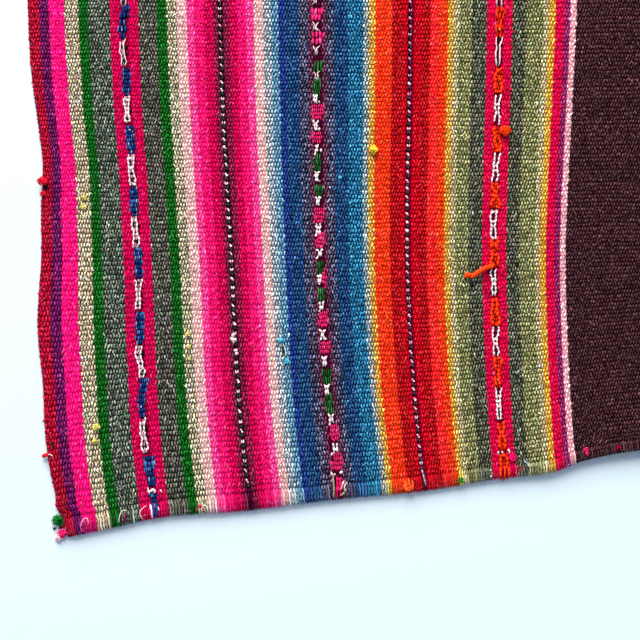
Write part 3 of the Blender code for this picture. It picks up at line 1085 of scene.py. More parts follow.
@dataclass
class WarpFloats:
    """The warp's floats as real relief over the part of the left panel seen close up.

    The spreads are of the sizes of a float, of all floats of an end and of a float's
    length, the strays of its middle across, along and with its whole row, in ends and
    picks, and slant_spread is of its lean. painted_highlight_share is the share of floats
    given a painted highlight.
    """

    shape: PanelShape
    last_end: int = 434
    last_pick: int = 117
    fade_picks: int = 9
    size_spread: float = 0.24
    end_spread: float = 0.10
    length_spread: float = 0.18
    stray_across: float = 0.21
    stray_along: float = 0.15
    stray_row: float = 0.07
    slant_spread: float = 0.42
    painted_highlight_share: float = 0.16
    half_width: float = 0.64 * END_PITCH
    half_length: float = 0.51
    height: float = 0.20 * MM
    sink: float = 0.14 * MM
    slant: float = 0.05
    pieces: tuple = (("floats_outer", 0, 150), ("floats_middle", 150, 292), ("floats_inner", 292, 434))

    def make(self, material: Material) -> list[Object]:
        """Makes the floats in a few pieces, side by side.

        Args:
            material: the yarns' material.

        Returns:
            The pieces.
        """
        dice = np.random.default_rng(SEED)
        end, pick = np.meshgrid(np.arange(self.last_end), np.arange(FIRST_PICK, self.last_pick))
        end, pick = end.ravel(), pick.ravel()
        figured = np.zeros(self.last_end, bool)
        figured[:BAND_ENDS] = figured_ends()
        fade = (self.last_pick - pick) / self.fade_picks
        kept = ((end + pick) % 2 == 0) & ~figured[end] & (dice.random(len(end)) < fade)
        end, pick = end[kept], pick[kept]
        bright, deep, mottle = dye_rows(end_wools())
        plump = np.array([wool.value.plump for wool in end_wools()])[end]
        count = len(end)
        row_shift = dice.normal(0, self.stray_row, self.last_pick)[pick]
        end_size = dice.normal(1, self.end_spread, self.last_end)[end]
        size = np.clip(dice.normal(1, self.size_spread, count) * end_size, 0.50, 1.50) * plump
        across = (end + 0.5 + dice.normal(0, self.stray_across, count)) * END_PITCH
        middle = pick + 0.5 + row_shift + dice.normal(0, self.stray_along, count)
        along = pick_place(middle)
        stretch = np.clip(dice.normal(1, self.length_spread, count), 0.65, 1.5)
        reach = (pick_place(middle + self.half_length) - along) * stretch
        reach = reach * (0.7 + 0.3 * plump)
        along = along + row_wave(across, along)
        shade = 1 - mottle[end] * dice.random(count) ** 1.3
        row_light = dice.normal(1, 0.06, self.last_pick)[pick] * dice.lognormal(0, 0.25, count)
        row_light = row_light * worn(across, along)
        tint = 1 + dice.normal(0, 1, (count, 3)) * (0.03 + 0.05 * mottle[end][:, None])
        colour = bright[end] * (shade * row_light)[:, None] * tint + deep[end] * (1 - shade[:, None]) * 0.6
        # Painted highlight: some floats lightened, and pushed towards white
        painted_highlight = (dice.random(count) < self.painted_highlight_share)[:, None] * 0.12
        lightness = bright[end].mean(axis=1)[:, None]
        colour = np.clip(colour * (1 + 2.5 * painted_highlight) + (1 - colour) * painted_highlight * lightness, 0, 1)
        made = []
        for name, start, stop in self.pieces:
            here = (end >= start) & (end < stop)
            grains = Grains(
                across=across[here],
                along=along[here],
                half_width=self.half_width * size[here],
                half_length=reach[here],
                height=self.height * size[here],
                slant=self.slant + dice.normal(0, self.slant_spread, here.sum()),
                sink=np.full(here.sum(), self.sink),
                bright=colour[here],
                deep=deep[end][here],
                dice=dice,
            )
            skein = Skein()
            grains.add_to(skein, self.shape)
            made.append(skein.make(name, material, "striped_wool"))
        return made


@dataclass
class Heading(YarnPiece):
    """The turns of the warp round the end of a panel, packed side by side, over the crease."""

    shape: PanelShape
    at_back: bool = False
    radius: float = 0.25 * MM
    # Painted light and shade: the lit colour's share along a turn, dark at the crease and underneath, and
    # round it, lit above and shaded below
    lit_share_along: tuple = (0.15, 0.95, 0.55, 1.10, 1.00, 0.75, 0.5, 0.3)
    lit_share_round: ClassVar[dict] = {5: (0.15, 1.1, 0.9, 0.4, 0.3), 4: (0.2, 1.1, 0.5, 0.3)}
    route: tuple = (
        (3.75, -0.16), (2.8, 0.00), (1.7, 0.08), (0.6, 0.02), (-0.05, -0.35), (-0.18, -0.72), (0.4, -1.02),
    )

    def lay(self) -> None:
        """Lays the turns, each over two ends, from the crease round to the underside."""
        dice = np.random.default_rng(SEED + 1)
        turns = np.arange(0, PANEL_ENDS - 1, 2)
        close = self.shape.side < 0 and not self.at_back
        route = smooth_path(np.array(self.route) * MM, len(self.lit_share_along) if close else len(self.lit_share_along) - 2)
        count, stations = len(turns), len(route)
        across = (turns[:, None] + 1 + dice.normal(0, 0.12, (count, 1))) * END_PITCH
        across = across + dice.normal(0, 0.16, (count, stations)) * END_PITCH
        length = 1 + dice.normal(0, 0.07, (count, 1))
        from_end = route[None, :, 0] * length
        along = PANEL_LENGTH - from_end if self.at_back else from_end
        crown = CLOTH_THICKNESS + route[None, :, 1] + dice.normal(0, 0.03, (count, 1)) * MM
        side_drop = CLOTH_THICKNESS - self.shape.thickness(across, np.full_like(across, 20 * MM))
        above = np.maximum(crown - side_drop, self.radius * 0.8)
        paths = self.shape.place(across, along, above)
        bright, deep, mottle = dye_rows(end_wools())
        shade = (1 - mottle[turns] * dice.random(count) * 0.9) * dice.lognormal(-0.36, 0.34, count)
        shade = shade * worn(across[:, 0], from_end[:, 0])
        tone = np.interp(np.linspace(0, 1, stations), np.linspace(0, 1, len(self.lit_share_along)), self.lit_share_along)
        round_it = np.array(self.lit_share_round[5 if close else 4])
        tone = tone[:, None] * round_it * dice.normal(1, 0.34, (count, stations, len(round_it)))
        tone = np.clip(tone, 0, 1)[..., None]
        lit = np.clip(bright[turns] * shade[:, None], 0, 1)
        colours = mixed(deep[turns][:, None, None], lit[:, None, None], tone)
        radii = self.radius * np.interp(np.arange(stations), (0, 2, stations - 1), (0.7, 1.0, 0.8))
        radii = radii * (1 + dice.normal(0, 0.1, (count, 1)))
        add_tubes(self.skein, paths, radii, colours, len(round_it))


@dataclass
class SelvedgeTurns(YarnPiece):
    """The weft's turns round the outer selvedge, one at every second pick."""

    shape: PanelShape
    radius: float = 0.24 * MM
    route: tuple = ((0.85, -0.42), (0.45, -0.50), (0.16, -0.72), (0.12, -0.98), (0.60, -1.20))

    def lay(self) -> None:
        """Lays the turns, from the cloth's top round to its underside."""
        dice = np.random.default_rng(SEED + 2)
        picks = np.arange(1.0, pick_at(PANEL_LENGTH) - 1)
        route = smooth_path(np.array(self.route) * MM, 5)
        count, stations = len(picks), len(route)
        across = route[None, :, 0] + dice.normal(0, 0.05, (count, 1)) * MM
        slope = np.linspace(0.35, -0.35, stations)
        along = pick_place(picks[:, None] + 0.5 + slope + dice.normal(0, 0.08, (count, 1)))
        along = along + row_wave(across, along)
        above = np.maximum(CLOTH_THICKNESS + route[None, :, 1], self.radius * 0.8)
        paths = self.shape.place(across, along, above)
        bright, deep, mottle = dye_rows([Wool.CRIMSON, Wool.PLUM])
        which = (dice.random(count) < 0.18).astype(int)
        lit = bright[which] * (0.8 - mottle[which] * dice.random(count))[:, None]
        # Painted shade: darker where the turn leaves the top and on the underside, lit where it rounds the
        # edge
        tone = np.interp(np.arange(stations), (0, 1, stations - 1), (0.2, 0.85, 0.3))[None, :, None]
        colours = mixed(deep[which][:, None], lit[:, None], tone)
        radii = self.radius * np.ones((count, stations)) * (1 + dice.normal(0, 0.12, (count, 1)))
        add_tubes(self.skein, paths, radii, colours, 4 if self.shape.side < 0 else 3)


@dataclass(frozen=True)
class Run:
    """A pattern yarn over the weave: rows of end, from the figure's middle, and pick.

    radius, and lift, how high its middle is above the cloth's top, are in millimetres, and
    wander is how far it strays to the side, in ends.
    """

    wool: Wool
    radius: float
    rows: tuple
    lift: float = 0.14
    wander: float = 0.09


@dataclass(frozen=True)
class Float:
    """One pattern float, or a low dark one: its middle and half its sizes in ends and picks."""

    wool: Wool
    end: float
    pick: float
    half_ends: float
    half_picks: float
    height: float = 0.06


@dataclass(frozen=True)
class Net:
    """A white net: two strands that wander side by side, a lower one between and dark eyes. A white lower
    strand is painted in shade.

    left and right are rows of end and pick. An eye's row is its end, pick and half its
    height in picks.
    """

    left: tuple
    right: tuple
    eyes: tuple = ()
    eye_wool: Wool = Wool.BLACK


@dataclass(frozen=True)
class FloatStyle:
    """How a block's floats lie: their spacings and half sizes, in ends and picks.

    brick is how far every second row is shifted, in spacings, and specks the share of
    floats in the lighter wool.
    """

    across: float
    along: float
    half_ends: float
    half_picks: float
    brick: float
    specks: float
    height: float = 0.26


SHORT_FLOATS = FloatStyle(1.25, 0.98, 0.60, 0.60, 0.5, 0.30)
LUMPY_FLOATS = FloatStyle(1.35, 0.90, 0.70, 0.62, 0.5, 0.45)
LONG_FLOATS = FloatStyle(1.30, 1.45, 0.46, 1.10, 0.0, 0.40)


@dataclass(frozen=True)
class Block:
    """A block of pattern floats between two sides: rows of pick, left end and right end.

    speck and glint are the wools of its lighter floats, glint's the fewer: painted highlights on its raised
    floats.
    """

    wool: Wool
    speck: Wool
    glint: Wool
    sides: tuple
    style: FloatStyle = SHORT_FLOATS


@dataclass(frozen=True)
class Motif:
    """One repeat of a figure as the photograph shows it, with the pick at its middle."""

    pick: float
    parts: tuple


def at_pick(pick: float, *parts: Block | Float | Net | Run) -> Motif:
    """A motif of parts, with the pick at its middle."""
    return Motif(pick, parts)


def blue(*sides: tuple) -> Block:
    """A navy block with lighter blue specks."""
    return Block(Wool.NAVY, Wool.MID_BLUE, Wool.SKY, sides)


def rose(*sides: tuple) -> Block:
    """A lumpy rose block with pinker specks."""
    return Block(Wool.ROSE, Wool.HOT_ROSE, Wool.CANDY, sides, LUMPY_FLOATS)


def green(*sides: tuple) -> Block:
    """A green block of long upright floats."""
    return Block(Wool.GREEN, Wool.LIGHT_GREEN, Wool.LIGHT_GREEN, sides, LONG_FLOATS)


def orange(*sides: tuple) -> Block:
    """The filling of an orange block."""
    return Block(Wool.DEEP_ORANGE, Wool.PATTERN_ORANGE, Wool.PATTERN_ORANGE, sides, LUMPY_FLOATS)


def link(*rows: tuple) -> Run:
    """A thick orange strand on an orange block."""
    return Run(Wool.PATTERN_ORANGE, 0.34, rows, 0.2)


def white(*rows: tuple) -> Run:
    """A white strand."""
    return Run(Wool.WHITE, 0.24, rows)


# Each figure's repeats from the front end on, as rows of ends and picks read off the photograph
BLUE_MOTIFS = (
    at_pick(2.8, blue((4.5, -2, 2.2), (3.6, -2.2, 3), (2.2, -2, 3.3), (0.8, -2, 3)),
        white((-2.4, 2.7), (-2.5, 1.6))),
    at_pick(9, blue((12.1, -3, 3), (11.5, -3.5, 4), (10.3, -4.2, 4.9), (9.4, -3.6, 3.6), (9, -3, 2.4),
        (7.5, -2.5, 3.2), (5.9, -2, 3)), Float(Wool.MID_BLUE, -2.4, 10.2, 1.5, 0.9, 0.34),
        Float(Wool.MID_BLUE, 2.9, 10.1, 1.6, 0.8, 0.34), white((-2.6, 5.8), (-2.1, 5.2), (-1.9, 4.5)),
        Run(Wool.WHITE, 0.3, ((-0.8, 5), (0.6, 5.3), (2.3, 4.9)))),
    at_pick(23, blue((26.7, -1, 4), (26, -1.6, 4.5), (25, -2, 3.4), (24, -3, 1.6), (22.5, -4.3, 0.9),
        (21, -4.5, 0.5), (19.1, -3, 0.3)),
        Net(((-3.6, 18.3), (-3.3, 17.7), (-4, 16.1), (-3, 15), (-4, 13.4), (-2.4, 12.3)),
            ((1.1, 19.2), (-0.5, 17.4), (-0.3, 16.1), (-0.5, 15), (0.7, 14), (0.7, 13.2), (-0.8, 12.4)),
            ((-2.1, 17.2, 0.4), (0.6, 17, 0.5), (0.4, 15.5, 0.3), (-1.9, 14.9, 0.3), (-0.9, 13.9, 0.5),
                (-2.6, 13.2, 0.4))), Float(Wool.WHITE, -1.8, 21.2, 0.6, 0.3, 0.34)),
    at_pick(37, blue((40.6, -1.5, 3), (39.8, -2.4, 3.5), (37.5, -3.4, 3), (35, -3.5, 2.2), (33.7, -3, 1.4)),
        Net(((-3.4, 33.4), (-4.1, 32), (-3.4, 30.7), (-2.5, 30), (-2, 29), (-2.2, 26.8)),
            ((1.6, 33.3), (-0.2, 31.8), (1.1, 29.8), (0.9, 28.9), (2.5, 28.1), (0.7, 26.9)),
            ((-2, 31.8, 0.4), (1, 31.6, 0.6), (-0.7, 29.9, 0.2), (0.1, 27.8, 0.5), (1.1, 29.4, 0.3))),
        Float(Wool.WHITE, -2.3, 36.9, 0.45, 0.25, 0.34)),
    at_pick(50.8,
        blue((54.2, -1.4, 2.4), (53.5, -2, 3.7), (50, -2.2, 3), (48.5, -2.6, 3.5), (47.5, -1.8, 3)),
        Net(((-2.6, 47.1), (-2, 46.1), (-2.2, 44.8), (-1.5, 43.3), (-2.9, 41.8), (-2.3, 40.9)),
            ((3.3, 47.3), (2.6, 46.6), (1.6, 45.6), (1.5, 44.6), (0.3, 43.4), (1.2, 42), (0.4, 40.9)),
            ((-0.1, 46.3, 0.25), (0.1, 45.2, 0.25), (-0.1, 44, 0.25), (-1, 42, 0.6), (1.1, 43.9, 0.4),
                (1.9, 42, 0.5)))),
    at_pick(64.3, blue((67.6, -2.2, 2.2), (66.8, -3.4, 2.9), (64, -3.5, 2.7), (63, -3.9, 2.5),
        (61.8, -3.2, 2.4), (61, -1.4, 1.4)),
        Net(((-2.9, 60.8), (-3, 59), (-2.4, 57.8), (-2, 56.6), (-2.7, 55.3), (-2.6, 54)),
            ((0.9, 60.9), (1.5, 59.5), (1, 57.9), (1.2, 56.7), (2.4, 56), (2.1, 55), (0.8, 54.2)),
            ((-1.2, 59.3, 0.85), (2.3, 59, 0.6), (-0.6, 57.3, 0.2), (-0.1, 55.4, 0.6)))),
    at_pick(78.8, blue((82.5, -1.4, 2.4), (81.5, -2.9, 3.9), (80, -2.9, 3), (77, -3.5, 3.4),
        (76, -2.3, 2.7), (75.2, -1, 1.2)),
        Net(((-2.2, 75), (-3.2, 73.3), (-2.8, 71.6), (-3.2, 69.6), (-2.5, 67.8)),
            ((2.2, 75), (2, 74), (1, 72.5), (0.4, 71.4), (1.8, 69.6), (1.6, 67.8)),
            ((-1, 73, 0.6), (-1, 70.7, 0.3), (-0.9, 69.1, 0.45))),
        Float(Wool.PALE_BLUE, 0.1, 80.9, 0.9, 0.3, 0.36)),
    at_pick(92.8, blue((96.4, -1.6, 2), (95, -2.8, 3), (92, -2.9, 2.5), (90.4, -2.9, 2.4), (89.1, -1, 1)),
        Net(((-2, 88.9), (-3.1, 87.5), (-1.5, 85.8), (-2.9, 84), (-2.2, 82.6)),
            ((1.6, 89.1), (1.4, 87.5), (0.3, 85.8), (0.7, 84), (1.2, 82.9)),
            ((-0.4, 87, 0.3), (1.6, 85.5, 0.5), (-0.9, 83.7, 0.6)))),
)
ROSE_MOTIFS = (
    at_pick(7.5, rose((9.2, 0, 2.4), (8.6, -0.8, 5), (7.6, -1.6, 5.4), (6.8, -4, 4.6), (5.8, -4.2, 3.6)),
        white((-3.9, 5.6), (-3.5, 4.8)), white((-1.9, 5.2), (-1.6, 4.7)),
        Run(Wool.WHITE, 0.28, ((2.2, 5), (3.2, 5.4), (3.9, 5.2))),
        Run(Wool.CHARCOAL, 0.22, ((-3.4, 4.2), (-3.6, 2.8), (-3.8, 1.4))),
        Run(Wool.ROSE, 0.24, ((0.6, 4.2), (-0.6, 3), (-1.6, 1.5))),
        Run(Wool.ROSE, 0.2, ((2, 4.2), (0.8, 2.8), (-0.3, 1.4))),
        Run(Wool.BLUSH, 0.28, ((4.6, 3.5), (3, 2.8), (1.2, 1.7)))),
    at_pick(13.2, rose((14.9, -0.6, 3), (14, -1.4, 5), (12.6, -1.7, 4.4), (11.7, -1, 3.6)),
        Net(((-1, 11.3), (-0.3, 10.3), (-1.1, 9.1)), ((3.1, 11.2), (2.4, 10.5), (2.6, 9.4)),
            ((0.6, 11, 0.2),)), white((-1.9, 9.4), (-2.4, 8.8))),
    at_pick(19.3, green((21.1, -2, 2), (20.2, -3.4, 3.2), (18.4, -3.6, 3.6), (17.6, -2.4, 2.6)),
        Net(((-2.1, 17.3), (-0.5, 16.6), (-1.8, 14.9)), ((2.6, 17.2), (1, 16.6), (1.8, 15.4)),
            ((0.2, 15.8, 0.3),))),
    at_pick(25.6, green((27.1, -1.8, 1.6), (26, -3.6, 3.4), (25, -3.4, 3.9), (24, -2.6, 2.4)),
        Net(((-2.7, 23.4), (-1.6, 22.7), (-2.3, 21.2)), ((1.8, 23.6), (0, 22.7), (0.4, 21.3)),
            ((1.2, 22.3, 0.3),))),
    at_pick(31.5, rose((33, -1, 2), (32, -3, 4.3), (30.6, -3.9, 3), (30, -3, 2)),
        Net(((-3.4, 29.5), (-1.6, 28.7), (-2.3, 27.3)),
            ((1.6, 29.5), (-0.7, 28.7), (0.2, 28.1), (-0.7, 27.3)))),
    at_pick(37.4, rose((39.4, -1.6, 1.8), (38, -2.8, 3.2), (36.8, -4, 2.8), (35.7, -3.6, 2)),
        Net(((-3.4, 35.3), (-1.8, 34.4), (-3.6, 32.9)), ((1.1, 35.1), (-0.7, 34.2), (-0.1, 33.5), (2, 33)))),
    at_pick(43.3, green((44.9, -1.4, 0.6), (44, -2.9, 1.8), (42.6, -4, 2.4), (41.7, -3.4, 1.6)),
        Net(((-3.1, 41.2), (-2, 40.5), (-2.2, 39.7), (-3.6, 39.1)),
            ((1.1, 41.5), (-0.1, 40.5), (-0.1, 39.5)), ((-0.8, 40.7, 0.25),))),
    at_pick(49.3, green((50.9, -2, 1.8), (50, -3.4, 2.4), (48.6, -3.8, 1.8), (47.7, -3, 1.4)),
        Net(((-2.9, 47.3), (-2, 46.6), (-2.6, 45.9), (-1.9, 45)),
            ((-0.1, 47.3), (-0.6, 46.6), (-0.4, 45.4))),
        rose((47.6, 0.4, 2.6), (46.6, 0.2, 3.7), (45.3, 0.4, 2.4)),
        Float(Wool.ROSE, 2.6, 48.4, 0.9, 0.6, 0.24), Float(Wool.ROSE, 2.4, 44.5, 0.8, 0.5, 0.24)),
    at_pick(54.9, rose((56.6, -1.8, 2.4), (55.6, -2.6, 4), (54, -3.5, 2.6), (53.3, -2.6, 2)),
        Net(((-3.3, 53), (-1.2, 52.4), (-1.3, 51.8), (-3.4, 50.7)), ((1.9, 53.2), (0.3, 52.5), (0.3, 51.5)),
            ((-0.4, 52.4, 0.2),))),
    at_pick(61, rose((62.9, -2, 1.6), (61.8, -3.2, 3.8), (60, -3.7, 2.4), (59.1, -5, 2.2)),
        Net(((-2.8, 58.9), (-2.4, 57.6), (-2.6, 56.6), (-3.4, 55.9)), ((1, 59), (0.1, 57.6), (0.3, 56.4)),
            ((-0.3, 58.4, 0.2),))),
    at_pick(66.8, green((68.5, -2, 1.4), (67.4, -3.4, 3.1), (66, -3.6, 2.6), (65.2, -1.6, 1.4)),
        Net(((-2.6, 65.1), (-1.9, 64.4), (-2.1, 63.1)), ((1.3, 65), (-0.2, 64.2), (-0.3, 63)))),
    at_pick(72.9, green((74.7, -3, 1.2), (73.6, -3.8, 1.9), (72, -4.4, 1.8), (71.2, -3.4, 1.2)),
        Net(((-2.8, 71), (-2.1, 69.8), (-2.5, 68.7)), ((0.8, 71), (-0.7, 70.3), (-0.9, 68.9), (1.3, 68.8)),
            ((0.5, 69.7, 0.4),))),
    at_pick(79.3, rose((80.8, -3.6, 1.2), (79.8, -5.2, 2.1), (78.6, -5, 1.8), (77.8, -3.8, 1.6)),
        Net(((-2.1, 77.2), (-1.4, 76.6), (-1.9, 75.7), (-3, 74.7)), ((0.2, 77.5), (-1, 76.6), (-1.2, 75.8)),
            ((0.5, 75.6, 0.45),)), white((1.5, 76.4), (1.8, 75.5))),
    at_pick(85.4, rose((87.3, -2.8, 2), (86.2, -4.5, 4.1), (84.6, -4.7, 2.8), (83.5, -4, 2)),
        Net(((-4.1, 83.3), (-2.7, 82.4), (-2.4, 80.8)), ((0.5, 83.2), (-1.1, 82.2), (-0.9, 80.8))),
        white((0.5, 81.5), (0.7, 80.8))),
    at_pick(91.1, green((92.9, -3, 2), (92, -3.8, 2.3), (90.4, -4.7, 1.8), (89.5, -3.4, 1.4)),
        Net(((-3.7, 89.5), (-2.7, 88.5), (-2.4, 87.3)), ((0, 89.5), (-1.1, 88.5), (-0.9, 87.2)),
            ((0.6, 88.4, 0.4),)), white((0.6, 87.9), (0.8, 87.3))),
)
ORANGE_MOTIFS = (
    at_pick(3.4, orange((5.2, -1.6, 1), (4.2, -2.8, 2.4), (2.8, -2.8, 3.2), (1.6, -2.2, 2.4)),
        link((-0.4, 5.1), (2, 4.5), (2.9, 3.4), (1.8, 2)), link((-1.4, 5), (-2.4, 3.8), (-1.6, 2.2))),
    at_pick(9.3,
        orange((12.6, -1.4, 2), (11.4, -2.3, 2.3), (9.6, -1.5, 1.6), (8, -2.4, 2.4), (6, -1.8, 1.8)),
        link((-2, 12.1), (-1.7, 11), (-0.7, 9.6), (-2, 8), (-1.4, 6.4)),
        link((1.7, 12.4), (2.1, 10.9), (0.8, 9.6), (2.3, 7.8), (1.4, 6.3)),
        Float(Wool.WHITE, -3.5, 5.5, 0.6, 0.4, 0.3),
        Run(Wool.WHITE, 0.32, ((-1.2, 5.7), (-0.4, 5.6), (0.2, 5.4))),
        Float(Wool.BLACK, -2.2, 5.6, 0.7, 0.4), white((3.7, 6.1), (5.2, 5.2)),
        Float(Wool.RED_GROUND, -0.2, 8.2, 0.6, 0.4)),
    at_pick(23.5, orange((27, -2, 1.6), (26, -3, 3), (24.6, -2.2, 2.2), (23, -2, 2.2), (21, -2.6, 2.2),
        (20, -3, 1.6)), link((-2, 26.8), (-2, 25.4), (-1, 24)), link((1.4, 27), (3.5, 26.1), (2.5, 25.2)),
        link((0.9, 24.2), (0.6, 22.6), (1, 20.6)), link((-2.2, 22.6), (-1.8, 20.6)),
        Net(((-2.5, 20), (-2, 18.1), (-1.7, 16.8), (-2.1, 15.9), (-2.1, 14), (-1.6, 12.8)),
            ((2.6, 20), (1.4, 18.6), (1.3, 17.6), (0.8, 17), (0.8, 15.5), (0.8, 13.8), (0.4, 12.9)),
            ((-1, 19.2, 0.4), (1.2, 19.4, 0.3), (-0.6, 17.7, 0.3), (-0.8, 14.9, 0.3), (-0.8, 13.6, 0.25))),
        Float(Wool.CANDY, -2.7, 23.3, 0.7, 0.6, 0.32), Float(Wool.WHITE, 0, 21.8, 0.6, 0.3, 0.4)),
    at_pick(37.5,
        orange((40.9, -2.2, 1.2), (39, -2.2, 2.2), (37.4, -3.2, 2.4), (35.6, -3.6, 3.4), (34.2, -3.2, 3)),
        link((-1.8, 40.7), (-1.6, 39.2), (-2.6, 37.6), (-2.6, 35.6), (-1.2, 34.4)),
        link((0.6, 40.8), (1.6, 39), (1, 37.4), (2.6, 36), (2.4, 34.6), (0, 34.3)),
        Float(Wool.DARK_RED, 0.7, 35.7, 0.7, 0.5, 0.3), Float(Wool.RED_GROUND, -0.3, 39.8, 0.4, 0.7, 0.3),
        Net(((-2.3, 34), (-2.6, 32.9), (-2.7, 31.6), (-1.8, 30.2), (-2.7, 29), (-2.2, 27.2)),
            ((2.3, 34), (2.3, 32.9), (1.6, 32), (0.5, 29.8), (1.7, 28.4), (0.6, 27.2)),
            ((0.4, 33, 0.6), (-0.9, 30.7, 0.35), (-0.2, 28.4, 0.6)), Wool.WINE_GROUND),
        Run(Wool.WHITE, 0.2, ((-2.2, 31.3), (-0.4, 31.1), (0.8, 31.2)))),
    at_pick(51.3, orange((54.8, -2, 2), (54, -2.6, 2.8), (52.2, -2.4, 2.8), (50.6, -1.8, 2.2),
        (49.4, -2.6, 3.2), (47.9, -2.4, 2.8)), link((-2.2, 54.4), (-1.8, 53), (-0.1, 53.6), (2.7, 52.2)),
        link((2.6, 54.4), (2.4, 53)), link((-2.4, 51.9), (-1.2, 50.8), (-2.5, 49.2), (-1.6, 48)),
        link((0.4, 51), (2.2, 50.7), (3, 49.8), (2.3, 48.3)),
        Float(Wool.DARK_RED, 0.3, 49.5, 0.7, 0.4, 0.3),
        Net(((-2.4, 47.7), (-3.3, 46.6), (-2.3, 45.6), (-1.7, 44.8), (-2, 43.1), (-1.6, 41.2)),
            ((1.9, 47.6), (1, 46.6), (1, 45.5), (0.8, 44.4), (1, 43.1), (0.5, 41.2)),
            ((-0.6, 45.9, 0.25), (-0.4, 42.8, 0.2), (-0.6, 41.9, 0.2), (-4, 47, 0.7), (-2.8, 42.1, 0.4),
                (1.8, 42.4, 0.4)))),
    at_pick(65.1, orange((68.3, -2.4, 2), (67, -2.5, 2.4), (65.8, -1.6, 2), (64.8, -2.6, 1.8),
        (63.4, -2.6, 3.4), (62, -3.5, 3.4)),
        link((-2.2, 68.2), (-1.9, 66.6), (0.9, 65.8), (0.2, 64.6), (-2.2, 63.6), (-2.4, 62.4)),
        link((0.4, 68.1), (1.9, 67.2), (1.6, 66.2)),
        link((-2.6, 65.2), (0.2, 65), (2.2, 64.2), (3.4, 63.1), (2.6, 62)),
        Float(Wool.RED_GROUND, 0.5, 67.2, 0.5, 0.4, 0.3), Float(Wool.DARK_RED, 0.1, 63.3, 0.9, 0.6, 0.3),
        Net(((-2.1, 61.7), (-3.2, 60.3), (-2.8, 59.2), (-2, 57.7), (-2.4, 56.6), (-2.4, 55.5), (-0.8, 54.6)),
            ((2.1, 61.7), (1.5, 60.5), (1.3, 59.2), (0.8, 57.7), (1, 56.6), (1.1, 55.3), (1.6, 54.8)),
            ((-1.1, 59.8, 0.5), (-0.6, 56, 0.6)), Wool.WINE_GROUND)),
    at_pick(78.8, orange((82.2, -1, 2), (81, -3, 4), (79.6, -2, 3.4), (78, -1.6, 3), (76.6, -2.4, 3.4),
        (75.5, -1.8, 2.6)),
        link((-1, 81.8), (-2.4, 80.6), (-1, 79.4), (-1.4, 77.8), (0.6, 76.6), (1, 75.7)),
        link((1.4, 79), (2.8, 77.8), (3, 76.6), (2, 75.6)), Float(Wool.BLACK, 1.6, 79, 0.6, 0.4, 0.3),
        Net(((-1.1, 75.5), (-1.2, 74), (-2.1, 72.9), (-1.4, 72), (-1.9, 71.1), (-2.3, 69.8), (-2.9, 68.3)),
            ((3.4, 75.5), (2.7, 74.2), (1.7, 73.1), (1.2, 72), (1.4, 70.9), (2.1, 70.2), (2, 69.2),
                (0.8, 68.4)), ((1.1, 74.3, 0.5), (0, 71.8, 0.35), (-0.2, 69.4, 0.6)), Wool.WINE_GROUND)),
    at_pick(92.8, orange((96, -1.6, 2), (94, -2.6, 3), (92, -2.6, 2.6), (91, -2.7, 3.2), (89.7, -1.6, 1.6)),
        link((1, 95.6), (-2, 94.2), (-1.8, 92.4), (-2.2, 90.8), (-1, 89.9)),
        link((-0.4, 94), (1.8, 92.3), (2.6, 91), (1.4, 89.9)), Float(Wool.DARK_RED, 0, 91, 0.5, 0.4, 0.3),
        Net(((-1.5, 89.3), (-1.8, 87.4), (-2, 86.3), (-0.9, 85), (-2, 84.3), (-2.1, 83)),
            ((2.6, 89.5), (1.2, 87.4), (1.3, 86.3), (0.5, 85.3), (1.5, 84.3), (1.9, 83.3), (1.4, 82)),
            ((-0.2, 88, 0.3), (-0.4, 85.6, 0.3), (1.7, 85.9, 0.5), (-0.1, 83.9, 0.6)), Wool.WINE_GROUND)),
)


